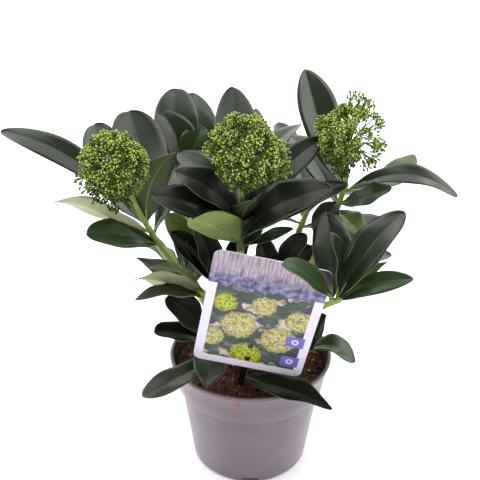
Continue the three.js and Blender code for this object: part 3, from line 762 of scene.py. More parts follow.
def growTrunk():
    bm = bmesh.new()
    ageLayer = bm.verts.layers.float.new("age")
    steps = bark["trunkSteps"]
    spine = [trunkPoint(i / steps) for i in range(steps + 1)]
    spine.append(spine[-1] + Vector(bark["trunkCap"]))
    height = trunk["top"][2] - trunk["foot"][2]

    def flare(share):
        return trunk["flare"] * math.exp(-share * height / trunk["flareFade"])
    shares = [min(i / steps, 1) for i in range(steps + 2)]
    radii = [blend(trunk["footRadius"], trunk["topRadius"], share) + flare(share) for share in shares]
    radii[-1] *= bark["trunkCapWide"]
    ages = [1 - bark["trunkYoung"] * share for share in shares]
    verts = addTube(bm, spine, radii, bark["trunkSides"], age=(ageLayer, ages))
    for vertex in verts:
        spot = vertex.co / mm
        share = (spot.z - trunk["foot"][2]) / height
        middle = trunkPoint(min(max(share, 0), 1))
        angle = math.atan2(spot.y - middle.y, spot.x - middle.x)
        spread = trunk["ridges"] * flare(share) * math.cos(angle * trunk["buttresses"])
        vertex.co += Vector((math.cos(angle), math.sin(angle), 0)) * spread * mm
    roughen([v for v in verts if v.co.z > (trunk["foot"][2] + 0.5) * mm], ageLayer, bark["trunkRelief"])
    piece = finishPiece("trunkBark", bm, [barkSkin])
    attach(piece, "root")
    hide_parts("main_stem")


def growBoughs():
    bm = bmesh.new()
    ageLayer = bm.verts.layers.float.new("age")
    for shoot in shoots.values():
        points = boughPoints(shoot)
        length = (points[0] - points[2]).length
        steps = max(8, int(length / bark["stepLong"]))
        spine = [curvePoint(points, i / steps) for i in range(steps + 1)]
        radii = [blend(bough["baseRadius"], bough["tipRadius"], i / steps) for i in range(steps + 1)]
        for i in range(2, steps, bark["knotEvery"]):  # slight swellings where old leaves stood
            radii[i] *= bark["knot"]
        step = length / steps / bark["greenAfter"]
        ages = [max(bark["oldest"] - i * step, bark["youngest"]) for i in range(steps + 1)]
        verts = addTube(bm, spine, radii, bark["sides"], age=(ageLayer, ages))
        roughen(verts, ageLayer, bark["relief"])
    piece = finishPiece("boughBark", bm, [barkSkin])
    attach(piece, "root")
    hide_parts(*["bough_" + name for name in shoots])


growTrunk()
growBoughs()

# low and middle: painted shade on the stems, low down near the soil and deep in the middle under the centre head; how
# high the one reaches, how wide and high the other does, in metres
twig = {"petioleReach": 0.2, "petioleRadius": (1.25, 0.55), "petioleSteps": 6, "petioleSides": 8, "sides": 10,
        "steps": 14, "knot": 1.12, "bud": ((1.5, 2.3), (3, 2.0), (4.6, 1.3), (6, 0.4)), "lowShadeHeights": (0.1, 0.125),
        "middleShadeWide": (0.016, 0.028), "middleShadeHeights": (0.232, 0.24), "patches": 180.0, "gloss": (0.36, 0.55),
        "bumps": (0.25, 0.4), "green": screen(116, 140, 62), "fresh": screen(154, 174, 90),
        "low": screen(62, 62, 38), "middle": screen(56, 66, 34)}


def twigMaterial():
    material, tree, shader = newMaterial("greenTwig", Specular_IOR_Level=0.4)
    place = objectPlace(tree)
    amount, fine = mottled(tree, place, twig["patches"])
    split = addNode(tree, "ShaderNodeSeparateXYZ", Vector=place)
    colour = mixColours(tree, amount, twig["green"], twig["fresh"])
    # painted shade: the stems darken low down near the soil and deep in the middle under the centre head
    colour = mixColours(tree, remap(tree, split["Z"], *twig["lowShadeHeights"], 1.0, 0.0), colour, twig["low"])
    aside = remap(tree, calc(tree, "ABSOLUTE", split["X"]), *twig["middleShadeWide"], 0.85, 0.0)
    under = remap(tree, split["Z"], *twig["middleShadeHeights"], 1.0, 0.0)
    colour = layColours(tree, colour, [(aside, under, twig["middle"])])
    setSurface(tree, shader, colour, fine, twig["gloss"], twig["bumps"])
    return material


twigSkin = twigMaterial()


def addStem(bm, shoot):
    foot, tip, steps = Vector(shoot["foot"]), Vector(shoot["tip"]), twig["steps"]
    spine = [foot.lerp(tip, i / steps) for i in range(steps + 1)]
    radii = [blend(stem["footRadius"], stem["tipRadius"], i / steps) for i in range(steps + 1)]
    for i in range(1, steps, 3):  # a swelling at each leaf's foot
        radii[i] *= twig["knot"]
    if "head" in shoot:
        centre = Vector(shoot["head"]["centre"])
        for i in range(1, stem["neckSteps"] + 1):
            share = i / stem["neckSteps"]
            spine.append(tip.lerp(centre, stem["neckReach"] * share))
            radii.append(blend(stem["tipRadius"], stem["neckEnd"], share))
    else:
        heading = (tip - foot).normalized()
        for rise, radius in twig["bud"]:
            spine.append(tip + heading * rise)
            radii.append(radius)
    addTube(bm, spine, radii, twig["sides"])


def addPetiole(bm, shoot, leaf):
    # the thick pale foot of a leaf, carried on below the blade as its midrib
    axes, root = leafAxes(leaf), leafRoot(shoot, leaf["down"])
    spine = [root - axes[0] * 0.5]
    radii = [twig["petioleRadius"][0]]
    for i in range(1, twig["petioleSteps"] + 1):
        share = i / twig["petioleSteps"]
        spine.append(leafMiddle(leaf, root, axes, twig["petioleReach"] * share) - axes[2] * 0.55)
        radii.append(blend(*twig["petioleRadius"], share))
    addTube(bm, spine, radii, twig["petioleSides"])


def growTwigs():
    bm = bmesh.new()
    for name, shoot in shoots.items():
        addStem(bm, shoot)
        for leaf in leafPlan[name]:
            addPetiole(bm, shoot, leaf)
    piece = finishPiece("greenTwigs", bm, [twigSkin])
    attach(piece, "root")


growTwigs()
print("stems grown")

# Flower heads: branches leave the axis in a spiral and fork twice, each fork ending in a spray of buds.
# A head is an egg with its narrow end down. Shares of its size tell how far each fork reaches.
head = {"branches": 30, "sprays": 6, "buds": 13, "reach": 0.93, "crown": 0.04, "forkSpread": 0.3, "budSpread": 0.15,
        "firstFork": 0.42, "secondFork": 0.74, "mound": 0.12, "barest": 0.68, "fewerBuds": 0.45, "fillingBare": 1.6,
        "fillingDepth": (0.5, 0.84), "straySprays": 2, "longest": 1.02, "axis": (-0.55, 0.5), "branchJitter": 0.1,
        "budJitter": 0.09, "wander": 0.4, "swellFocus": 4, "underFrom": 0.15, "lightTips": 0.1, "lightEdge": 0.35,
        "lightUnder": 1.2, "shadeUnder": 0.9, "thickness": (0.95, 0.58, 0.33), "budRadius": (0.58, 0.88),
        "budLong": 1.35, "pinchFrom": 0.3, "pinch": 1.25, "paleFrom": 0.5}
# Bud greens: tip is the pale tip of the lit buds; light, shade and deep are painted light and shade, the same bud green
# lit, in shade and in deep shade, each shaded bud taking the next tone down for tip and body; branch is the stalks.
budColours = {"tip": screen(200, 210, 126), "light": screen(140, 160, 60), "shade": screen(78, 104, 30),
              "deep": screen(44, 62, 16), "branch": screen(126, 150, 62)}
# uneven: how much the branches differ in length; filling: small buds deep in the head; narrowing: how much
# its foot tapers; bulges: directions where it swells or falls short; thin: a side with fewer sprays;
# strays: loose sprays; pressed: the leaf that presses into it
headHabit = {
    "left": {"uneven": 0.16, "filling": 420, "narrowing": 0.28, "pressed": 2,
             "bulges": (((0.45, -0.1, -0.89), 0.42), ((0.85, 0, -0.5), 0.18), ((0.7, 0, 0.7), -0.1),
                        ((-0.6, 0, 0.8), 0.08), ((-0.85, -0.2, -0.5), 0.12)),
             "thin": ((-0.5, -0.3, -0.8), 0.35),
             "strays": ((-0.72, -0.2, -0.66, 1.08), (-0.5, -0.2, -0.85, 1.2), (-0.62, 0.1, -0.78, 1.3),
                        (-0.2, -0.2, -0.95, 1.2))},
    "centre": {"uneven": 0.16, "filling": 420, "narrowing": 0.3,
               "bulges": (((0.87, -0.2, -0.4), 0.1), ((0.75, 0, 0.66), -0.15), ((-0.35, 0, 0.94), 0.05),
                          ((0.0, -0.35, -0.94), 0.2)),
               "thin": ((0.2, 0, -1), 0.2),
               "strays": ((0.9, -0.2, -0.4, 1.12), (0.8, 0.1, -0.55, 1.16), (-0.9, -0.2, 0.1, 1.08))},
    "right": {"uneven": 0.26, "filling": 60, "narrowing": 0.1,
              "bulges": (((0.75, 0, 0.66), 0.06), ((0.7, 0, -0.7), 0.08), ((-0.7, 0, -0.7), 0.06)),
              "thin": ((1, -0.1, -0.1), 1.15),
              "strays": ((0.12, 0, 1, 1.13), (0.5, 0, 0.86, 1.1), (0.97, 0, -0.25, 1.1), (0.78, -0.2, -0.6, 1.08),
                         (0.9, 0.2, 0.3, 1.06), (-0.95, -0.1, 0.3, 1.1))},
}


budMaterials = [mottledMaterial(name + "Bud", shade(colour, 0.78), colour, 220.0, (0.45, 0.65), (0.3, 0.3),
                                Specular_IOR_Level=0.3) for name, colour in budColours.items()]
shadeTone, branchTone = 2, 4


def budShape():
    # a plump bud with a pinched pale tip, and a body one tone darker
    bm = bmesh.new()
    bmesh.ops.create_uvsphere(bm, u_segments=6, v_segments=4, radius=1)
    for vertex in bm.verts:
        if vertex.co.z > head["pinchFrom"]:
            vertex.co.z *= head["pinch"]
    bm.verts.index_update()
    for face in bm.faces:
        face.material_index = 0 if face.calc_center_median().z > head["paleFrom"] else 1
    return bm


def stalkShape():
    # a three-sided stalk from the origin to one along Z
    bm = bmesh.new()
    bmesh.ops.create_cone(bm, segments=3, radius1=1, radius2=0.75, depth=1, cap_ends=True)
    bmesh.ops.translate(bm, vec=(0, 0, 0.5), verts=bm.verts)
    bm.verts.index_update()
    return bm


def pointedAt(start, end, radius):
    span = end - start
    turn = span.to_track_quat("Z", "Y").to_matrix().to_4x4()
    scale = Matrix.Diagonal((radius * mm, radius * mm, span.length * mm, 1))
    return Matrix.Translation(start * mm) @ turn @ scale


def onEgg(shoot, habit, direction, share):
    # a point in a head, by its direction from the middle and its share of the way out
    size, centre = shoot["head"], Vector(shoot["head"]["centre"])
    axis = (centre - Vector(shoot["tip"])).normalized()
    rise = direction.dot(axis)
    lateral = direction - axis * rise
    narrow = 1 + (head["crown"] if rise > 0 else habit["narrowing"]) * rise
    for towards, swell in habit["bulges"]:
        share *= 1 + swell * max(direction.dot(Vector(towards)), 0) ** head["swellFocus"]
    return centre + (lateral * size["wide"] * narrow + axis * rise * size["tall"]) * share


def nearby(direction, random, spread, share, around):
    # a direction beside another, a share of the spread away from it
    side = direction.orthogonal().normalized()
    other = direction.cross(side)
    lean = (side * math.cos(around) + other * math.sin(around)) * share * spread
    lean += (side * (random() - 0.5) + other * (random() - 0.5)) * spread * head["wander"]
    return (direction + lean).normalized()


def growSpray(shoot, habit, copies, random, start, direction, reach, count):
    # one fork's end: a low mound of buds on thin stalks, with painted shade that darkens the buds under the head
    fork = onEgg(shoot, habit, direction, head["secondFork"] * reach)
    copies.append((1, pointedAt(start, fork, head["thickness"][1]), branchTone))
    for k in range(count):
        share = math.sqrt((k + 0.5) / count)
        heading = nearby(direction, random, head["budSpread"], share, math.radians(k * goldenTurn))
        out = reach * (1 - head["mound"] * share * share) * (1 - head["budJitter"] * random())
        spot = onEgg(shoot, habit, heading, out)
        copies.append((1, pointedAt(fork, spot, head["thickness"][2]), branchTone))
        # painted shade: the chance of a darker bud grows towards the spray's rim and under the head, and many buds low
        # under the head take the darkest tones
        under = max(-heading.z - head["underFrom"], 0)
        light = head["lightTips"] + head["lightEdge"] * share + head["lightUnder"] * under
        tone = 0 if random() > light else 1
        addBud(copies, random, spot, heading, shadeTone if random() < head["shadeUnder"] * under else tone)


def addBud(copies, random, spot, heading, tone):
    radius = blend(*head["budRadius"], random()) * mm
    turn = heading.to_track_quat("Z", "Y").to_matrix().to_4x4()
    size = Matrix.Diagonal((radius, radius, radius * head["budLong"], 1))
    copies.append((0, Matrix.Translation(spot * mm) @ turn @ size, tone))


def beyondLeaf(shoot, number, spot):
    # whether a spot lies on the outer side of the leaf that presses into the head
    leaf = shoot["leaves"][number]
    root, axes = leafRoot(shoot, leaf["down"]), leafAxes(leaf)
    share = (spot - root).dot(axes[0]) / leaf["long"]
    if not 0.1 < share < 0.97:
        return False
    offset = spot - leafMiddle(leaf, root, axes, share)
    return offset.dot(axes[2]) < 1.0 and offset.dot(axes[1]) > -leafHalfWidth(leaf, share)


def growHead(name, shoot):
    habit = headHabit[name]
    axis = (Vector(shoot["head"]["centre"]) - Vector(shoot["tip"])).normalized()
    up = axis.to_track_quat("Z", "Y")
    random = seeded(shoot["seed"] + 500)
    bare, thinness = Vector(habit["thin"][0]).normalized(), habit["thin"][1]

    def aimed(height, angle):
        ring = math.sqrt(1 - height * height)
        direction = Vector((ring * math.cos(angle), ring * math.sin(angle), height))
        direction.rotate(up)
        return direction
    copies, branches = [], []
    for i in range(head["branches"]):
        direction = aimed(1 - (i + 0.5) / head["branches"] * 2 * head["reach"], math.radians(i * goldenTurn))
        branches.append((direction, head["longest"] - habit["uneven"] * random(), head["sprays"]))
    for x, y, z, reach in habit["strays"]:
        branches.append((Vector((x, y, z)).normalized(), reach, head["straySprays"]))
    for direction, reach, sprays in branches:
        start = onEgg(shoot, habit, axis, head["axis"][0] + head["axis"][1] * max(direction.dot(axis), 0))
        fork = onEgg(shoot, habit, direction, head["firstFork"] * reach)
        copies.append((1, pointedAt(start, fork, head["thickness"][0]), branchTone))
        for k in range(sprays):
            share = math.sqrt((k + 0.3) / head["sprays"])
            aim = nearby(direction, random, head["forkSpread"], share, math.radians(k * goldenTurn))
            length = reach * (1 - head["branchJitter"] * random())
            bareness = min(max(thinness * aim.dot(bare), 0), head["barest"])
            if sprays < head["sprays"] or random() > bareness:
                count = round(head["buds"] * (1 - head["fewerBuds"] * bareness))
                growSpray(shoot, habit, copies, random, fork, aim, length, count)
    for _ in range(habit["filling"]):  # smaller buds deep in the head, darkened with painted shade
        heading = aimed(1 - random() * 2 * head["reach"], random() * fullTurn)
        depth = blend(*head["fillingDepth"], random())
        if random() > head["fillingBare"] * thinness * heading.dot(bare):
            addBud(copies, random, onEgg(shoot, habit, heading, depth), heading, shadeTone)
    if "pressed" in habit:
        copies = [copy for copy in copies if not beyondLeaf(shoot, habit["pressed"], copy[1].translation / mm)]
    piece = joinCopies("flowerBuds_" + name, [budShape(), stalkShape()], copies, budMaterials)
    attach(piece, "root")
    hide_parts("flower_head_" + name)


for shootName, shoot in shoots.items():
    if "head" in shoot:
        growHead(shootName, shoot)
print("flower heads grown")

# The pot: one profile spun round, with notches left open at its foot.
pot = {"height": 95.3, "lipRadius": 65, "lipHeight": 2.8, "bandTop": 63, "bandFoot": 59.3, "bandFootHeight": 69,
       "wallTop": 56.8, "base": 46.6, "lipEdge": 64.0, "corner": 1.5, "wall": 1.5, "slots": 4, "slotHeight": 3.8,
       "slotHalf": 4.2, "floorRim": 7, "steps": 192, "softEdge": 0.3, "trailFade": 3, "dirtHeights": (0.066, 0.093),
       "patches": 18.0, "specks": 300.0, "gloss": (0.4, 0.56), "bumps": (0.15, 0.4),
       "plastic": screen(106, 94, 106), "dust": screen(142, 128, 130), "soilMark": screen(122, 70, 48),
       "inside": screen(24, 15, 13), "insideLight": screen(62, 44, 38)}
# soil that ran down the front of the band: middle, half width, foot and top of each trail
trails = ((-11, 5, 71, 95), (-33, 7, 84, 96), (29, 2.5, 84, 92))


def addTrail(tree, split, front, speck, colour, trail):
    x, width, low, high = trail
    aside = calc(tree, "ABSOLUTE", minus(tree, split["X"], x * mm))
    near = minus(tree, 1.0, divide(tree, aside, width * mm), clamp=True)
    for edge, side in ((low, 1), (high, -1)):
        room = times(tree, minus(tree, split["Z"], edge * mm), side)
        near = times(tree, near, plus(tree, divide(tree, room, pot["trailFade"] * mm), 0.5, clamp=True))
    near = times(tree, near, front)
    spot = times(tree, plus(tree, speck, times(tree, near, 0.5)), near, clamp=True)
    return layColours(tree, colour, [(spot, 0.9, pot["soilMark"])])


def potMaterial():
    material, tree, shader = newMaterial("potPlastic", Specular_IOR_Level=0.4, Sheen_Weight=0.3, Sheen_Roughness=0.4)
    place = objectPlace(tree)
    amount, fine = mottled(tree, place, pot["patches"])
    speck = mottled(tree, place, pot["specks"], low=-1.2)[0]
    split = addNode(tree, "ShaderNodeSeparateXYZ", Vector=place)
    dirt = times(tree, remap(tree, split["Z"], *pot["dirtHeights"]), speck, clamp=True)
    dirt = times(tree, dirt, amount)
    colour = layColours(tree, pot["plastic"], [(amount, 0.35, pot["dust"]), (dirt, 0.5, pot["soilMark"])])
    front = calc(tree, "LESS_THAN", split["Y"], 0.0)
    for trail in trails:
        colour = addTrail(tree, split, front, speck, colour, trail)
    flat = addNode(tree, "ShaderNodeVectorMath", {"operation": "MULTIPLY"}, place, (1, 1, 0))["Vector"]
    radius = addNode(tree, "ShaderNodeVectorMath", {"operation": "LENGTH"}, flat)["Value"]
    inner = calc(tree, "LESS_THAN", radius, pot["lipEdge"] * mm)
    top = calc(tree, "GREATER_THAN", split["Z"], (pot["height"] - 0.8) * mm)
    colour = layColours(tree, colour, [(inner, top, pot["insideLight"])])
    setSurface(tree, shader, colour, fine, pot["gloss"], pot["bumps"])
    return material


def wallRadius(height):
    return blend(pot["base"], pot["wallTop"], height / pot["bandFootHeight"])


def spinProfile(bm, profile, steps):
    # radius and height pairs, joined into a line and turned once round Z
    line = []
    last = None
    for radius, height in profile:
        vertex = bmesh.ops.create_vert(bm, co=(radius * mm, 0, height * mm))["vert"][0]
        line.append(vertex)
        if last:
            line.append(bm.edges.new((last, vertex)))
        last = vertex
    bmesh.ops.spin(bm, geom=line, axis=(0, 0, 1), cent=(0, 0, 0), angle=2 * math.pi, steps=steps, use_merge=True)
    bmesh.ops.remove_doubles(bm, verts=bm.verts, dist=0.00001)
    bmesh.ops.recalc_face_normals(bm, faces=bm.faces)


def growPot():
    lipFoot = pot["height"] - pot["lipHeight"]
    shoulder = pot["bandFootHeight"] - 1.5
    profile = [(0, 0), (pot["base"] - 7, 0), (pot["base"] - pot["corner"], 0), (wallRadius(1.5), 1.5),
               (wallRadius(pot["slotHeight"]), pot["slotHeight"]), (wallRadius(20), 20), (wallRadius(45), 45),
               (wallRadius(shoulder - 1.2), shoulder - 1.2), (wallRadius(shoulder), shoulder),
               (pot["bandFoot"] - 0.4, pot["bandFootHeight"] - 0.3), (pot["bandFoot"], pot["bandFootHeight"] + 0.4),
               (blend(pot["bandFoot"], pot["bandTop"], 0.5), 80.5), (pot["bandTop"], lipFoot - 0.5),
               (pot["bandTop"] + 0.5, lipFoot), (pot["lipRadius"] - 0.4, lipFoot + 0.4),
               (pot["lipRadius"], lipFoot + 1.0), (pot["lipRadius"], pot["height"] - 0.7),
               (pot["lipRadius"] - 0.6, pot["height"]), (pot["lipRadius"] - 2.6, pot["height"])]
    bm = bmesh.new()
    spinProfile(bm, profile, pot["steps"])
    span = pot["steps"] // pot["slots"]
    gone = []
    for face in bm.faces:
        middle = face.calc_center_median() / mm
        angle = math.degrees(math.atan2(middle.x, -middle.y)) * pot["steps"] / 360
        low = middle.z <= pot["slotHeight"] - 0.5 and math.hypot(middle.x, middle.y) >= pot["base"] - pot["floorRim"]
        if low and abs((angle + span / 2) % span - span / 2) < pot["slotHalf"]:
            gone.append(face)
    bmesh.ops.delete(bm, geom=gone, context="FACES")
    inside = mottledMaterial("potInside", pot["inside"], pot["insideLight"], 90.0, (0.6, 0.8), Specular_IOR_Level=0.15)
    piece = finishPiece("potWall", bm, [potMaterial(), inside])
    skin = piece.modifiers.new("wallThickness", "SOLIDIFY")
    skin.thickness = pot["wall"] * mm
    skin.offset = -1
    skin.material_offset = 1
    skin.material_offset_rim = 1
    edge = piece.modifiers.new("softEdges", "BEVEL")
    edge.width = pot["softEdge"] * mm
    edge.segments = 2
    edge.limit_method = "ANGLE"
    edge.angle_limit = math.radians(50)
    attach(piece, "root")
    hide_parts("pot")


growPot()

soil = {"level": 85, "steps": 120, "rings": 34, "lumps": 1.1, "grain": 0.7, "crumbs": 1500, "fibres": 170,
        "stalks": 9, "crumbKinds": 4, "fibreKinds": 5, "gap": 0.6, "crumbReach": (58, 10), "fibreReach": (54, 12),
        "crumbSize": (0.5, 1.5), "fibreLong": (5, 11), "stalkLong": (12, 9), "stalkLean": (70, 18), "paleShare": 0.05,
        "rustyShare": 0.28, "rates": (0.07, 0.16, 0.6), "trunkCalm": (6, 16), "rimCalm": (54, 60), "floorGap": 0.4,
        "shoulder": 66, "bandShare": 0.68, "dark": screen(30, 17, 13), "brown": screen(80, 52, 38),
        "rusty": screen(134, 84, 58), "pale": screen(190, 160, 130)}
soilMaterials = [mottledMaterial(name, soil[low], soil[high], 160.0, (0.8, 1.0), (0.8, 0.8), Specular_IOR_Level=0.2)
                 for name, low, high in (("pottingSoil", "dark", "brown"), ("rustyFibre", "brown", "rusty"),
                                         ("paleCrumb", "rusty", "pale"))]


def soilHeight(x, y):
    # two sizes of lumps that die away beside the trunk and the rim, and a grain all over
    radius = math.hypot(x, y)
    spot = Vector((x, y, 0))
    broad, middling, small = (noise.noise(spot * rate) for rate in soil["rates"])
    lumps = broad * soil["lumps"] + middling * 0.5 * soil["lumps"]
    calm = ease(*soil["trunkCalm"], radius) * (1 - ease(*soil["rimCalm"], radius))
    return soil["level"] + lumps * calm + small * soil["grain"] * (0.3 + 0.7 * calm)


def growSoil():
    floor, shoulder = pot["wall"] + soil["floorGap"], soil["shoulder"]
    inset = pot["wall"] + soil["gap"]
    edge = blend(pot["bandFoot"], pot["bandTop"], soil["bandShare"]) - inset - 0.1
    profile = [(0, floor), (wallRadius(floor) - inset, floor), (wallRadius(shoulder) - inset, shoulder),
               (edge, soil["level"] - 1)]
    profile += [(edge * (1 - i / soil["rings"]), soil["level"]) for i in range(soil["rings"] + 1)]
    bm = bmesh.new()
    spinProfile(bm, profile, soil["steps"])
    for vertex in bm.verts:
        spot = vertex.co / mm
        if spot.z > soil["level"] - 0.5:
            vertex.co.z = soilHeight(spot.x, spot.y) * mm
    piece = finishPiece("soilBody", bm, soilMaterials)
    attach(piece, "root")
    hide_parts("growing_medium")


def crumbShape(seed):
    bm = bmesh.new()
    bmesh.ops.create_icosphere(bm, subdivisions=1, radius=1)
    for vertex in bm.verts:
        vertex.co *= 1 + 0.5 * noise.noise(vertex.co * 1.3 + Vector((seed, 0, seed * 2)))
    bm.verts.index_update()
    return bm


def fibreShape(seed):
    # a thin curved strand, one unit long
    random = seeded(seed)
    bm = bmesh.new()
    bend = Vector((random() - 0.5, random() - 0.5, random() * 0.5)) * 700
    points = (Vector((-500, 0, 0)), bend, Vector((500, 0, 0)))
    spine = [curvePoint(points, i / 7) for i in range(8)]
    addTube(bm, spine, [9 + 4 * random() for _ in spine], 4)
    bm.verts.index_update()
    return bm


def scatterSoil():
    random = seeded(77)
    crumbs, fibres = soil["crumbKinds"], soil["fibreKinds"]
    shapes = [crumbShape(k) for k in range(crumbs)] + [fibreShape(k + 5) for k in range(fibres)]
    copies = []

    def strewn(reach, least):
        radius, angle = reach * math.sqrt(random()), random() * fullTurn
        return None if radius < least else (radius * math.cos(angle), radius * math.sin(angle))

    def sized(low, spread, power=1):
        return low + spread * random() ** power

    def resting(spot, lift):
        return Matrix.Translation(Vector((*spot, soilHeight(*spot) + lift)) * mm)

    def turned(about, lean, axis):
        return Matrix.Rotation(about, 4, "Z") @ Matrix.Rotation(lean, 4, axis)
    for _ in range(soil["crumbs"]):
        spot = strewn(*soil["crumbReach"])
        if spot:
            size = sized(*soil["crumbSize"], 3)
            turn = turned(random() * 6, random() * 6, "X")
            flat = Matrix.Diagonal((size * mm, size * mm * (0.6 + 0.5 * random()), size * mm * 0.7, 1))
            pick = random()
            tone = 2 if pick > 1 - soil["paleShare"] else 1 if pick > 1 - soil["rustyShare"] else 0
            copies.append((int(random() * crumbs), resting(spot, size * 0.2) @ turn @ flat, tone))
    for _ in range(soil["fibres"]):
        spot = strewn(*soil["fibreReach"])
        if spot:
            long = sized(*soil["fibreLong"]) * mm
            turn = turned(random() * fullTurn, (random() - 0.5) * 0.7, "Y")
            kind = crumbs + int(random() * fibres)
            copies.append((kind, resting(spot, 0.9) @ turn @ Matrix.Diagonal((long, long, long, 1)), 1))
    for k in range(soil["stalks"]):  # dry stalks that stand up behind the label's foot
        spot = (-28 + 16 * random(), -40 - 8 * random())
        long = sized(*soil["stalkLong"]) * mm
        turn = turned(random() * fullTurn, math.radians(sized(*soil["stalkLean"])), "Y")
        thick = Matrix.Diagonal((long, long * 2.2, long * 2.2, 1))
        copies.append((crumbs + k % fibres, resting(spot, long / mm * 0.42) @ turn @ thick, 1))
    piece = joinCopies("soilCrumbs", shapes, copies, soilMaterials)
    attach(piece, "root")


growSoil()
scatterSoil()
print("pot and soil ready")

# The label stands in its own place: foot in the middle of its bottom edge, face towards -Y.
label = {"wide": 83, "tall": 110, "thick": 0.8, "corner": 6, "foot": (-4, -40, 108), "lean": 12.7, "roll": 10.9,
         "yaw": -5.8, "holes": (10, 23.6), "holeOffset": -1, "border": 6.5, "borderTop": 80,
         "grey": screen(224, 219, 232), "white": screen(236, 232, 242)}
stake = {"wide": 5, "thick": 1.6, "above": 32, "below": 60, "point": 8, "pegRadius": 2.1, "pegStand": 0.8, "gap": 0.3,
         "pointWidth": 0.08, "softEdge": 0.35, "pegSoftEdge": 0.4,
         "black": screen(16, 16, 20), "worn": screen(30, 30, 36)}


def labelPlace():
    turn = Matrix.Rotation(math.radians(label["yaw"]), 4, "Z") @ Matrix.Rotation(math.radians(label["lean"]), 4, "X")
    turn = turn @ Matrix.Rotation(math.radians(label["roll"]), 4, "Y")
    return Matrix.Translation(Vector(label["foot"]) * mm) @ turn


def buildPatch():
    # a ragged round patch: its mask, and how deep in it a point lies
    group, given, result = newGroup(
        "printedPatch",
        [("Place", "Vector", None), ("Centre", "Vector", None), ("Radius", "Float", 10.0), ("Ragged", "Float", 1.5)],
        ["Mask", "Depth"],
    )
    away = addNode(group, "ShaderNodeVectorMath", {"operation": "DISTANCE"}, given["Place"], given["Centre"])
    ragged = times(group, minus(group, noiseOn(group, given["Place"], 0.45), 0.5), given["Ragged"])
    far = plus(group, away["Value"], times(group, ragged, 4.0))
    inside = minus(group, given["Radius"], far)
    feed(group, result["Mask"], plus(group, inside, 0.5, clamp=True))
    feed(group, result["Depth"], divide(group, inside, given["Radius"], clamp=True))
    return group


patchGroup = buildPatch()
printDesign = {
    # round heads by place, radius and colour, drawn in this order
    "heads": ((15, 63, 8.5, "lime"), (43, 66, 9, "cream"), (70, 57, 10, "cream"), (28, 43, 13, "cream"),
              (59, 35, 13, "cream"), (10, 27, 9.5, "cream"), (38, 14, 12, "lime")),
    "cream": (screen(226, 216, 158), screen(190, 182, 108), screen(138, 132, 84)),
    "lime": (screen(214, 214, 80), screen(176, 184, 40), screen(112, 126, 30)),
    "leaves": (screen(44, 66, 48), screen(84, 104, 84), screen(112, 116, 124), screen(66, 70, 88)),
    "vein": screen(122, 140, 108), "gap": screen(44, 54, 46), "petal": screen(214, 194, 180),
    "sky": screen(192, 178, 192), "grain": screen(126, 108, 122), "hazeDark": screen(56, 54, 84),
    "haze": screen(112, 106, 150), "hazeLight": screen(158, 152, 186), "corner": screen(44, 32, 34),
    "border": screen(236, 230, 244), "badge": screen(116, 106, 186), "badges": ((71.5, 36), (71.5, 15)),
    "badgeSize": (14, 11), "ring": (2.6, 1.4), "cells": ((0.7, 3.0), (-0.6, 41.0)), "cellSize": (0.055, 0.15, 1),
    "waves": (14.0, 9.0), "bandFoot": (89.5, 91.5), "skyFoot": (98, 108), "cornerPlace": (86, 106, 0),
}


def boxMask(tree, split, low, high, soft=0.4):
    # one inside the rectangle from low to high
    mask = 1.0
    for axis, start, end in (("X", low[0], high[0]), ("Y", low[1], high[1])):
        for room in (minus(tree, split[axis], start), minus(tree, end, split[axis])):
            mask = times(tree, mask, divide(tree, room, soft, clamp=True))
    return mask


def leafyGround(tree, place, design):
    # long cells at two slants, one leaf each, with dark gaps and a vein
    drift = addNode(tree, "ShaderNodeTexNoise", Vector=place, Scale=0.16, Detail=1.5)["Color"]
    place = addNode(tree, "ShaderNodeVectorMath", {"operation": "MULTIPLY_ADD"}, drift, (9, 9, 0), place)["Vector"]
    layers = []
    for turn, seed in design["cells"]:
        slant = addNode(tree, "ShaderNodeMapping", Vector=place, Location=(seed, seed * 2, 0), Rotation=(0, 0, turn),
                        Scale=design["cellSize"])["Vector"]
        cells = addNode(tree, "ShaderNodeTexVoronoi", {"feature": "F1"}, Vector=slant, Scale=1.0)
        edges = addNode(tree, "ShaderNodeTexVoronoi", {"feature": "DISTANCE_TO_EDGE"}, Vector=slant, Scale=1.0)
        pick = addNode(tree, "ShaderNodeSeparateColor", Color=cells["Color"])
        colour = mixColours(tree, pick["Red"], *design["leaves"][:2])
        for channel, level, other in (("Green", 0.6, design["leaves"][2]), ("Blue", 0.7, design["leaves"][3]),
                                      ("Green", 0.8, design["petal"])):
            colour = mixColours(tree, calc(tree, "GREATER_THAN", pick[channel], level), colour, other)
        vein = minus(tree, 1.0, times(tree, cells["Distance"], 9.0), clamp=True)
        colour = layColours(tree, colour, [(vein, 0.5, design["vein"])])
        gap = remap(tree, edges["Distance"], 0.0, 0.22, 0.75, 0.0)
        layers.append(mixColours(tree, gap, colour, design["gap"]))
    return mixColours(tree, calc(tree, "GREATER_THAN", noiseOn(tree, place, 0.08, 0.0), 0.5), *layers)


def printedHeads(tree, place, design, colour):
    florets = addNode(tree, "ShaderNodeTexVoronoi", {"feature": "F1"}, Vector=place, Scale=0.62, Randomness=1.0)
    fine = noiseOn(tree, place, 1.6)
    tipShare = remap(tree, florets["Distance"], 0.1, 0.45)
    gapShare = remap(tree, florets["Distance"], 0.42, 0.75)
    for x, y, radius, kind in design["heads"]:
        spot = useGroup(tree, patchGroup, Place=place, Centre=(x, y, 0), Radius=radius, Ragged=1.6)
        tip, body, gap = design[kind]
        ball = layColours(tree, mixColours(tree, tipShare, tip, body), [(fine, 0.5, tip)])
        ball = mixColours(tree, gapShare, ball, gap)
        ball = mixColours(tree, remap(tree, spot["Depth"], 0.0, 0.3, 0.6, 0.0), ball, gap)
        colour = mixColours(tree, spot["Mask"], colour, ball)
    return colour


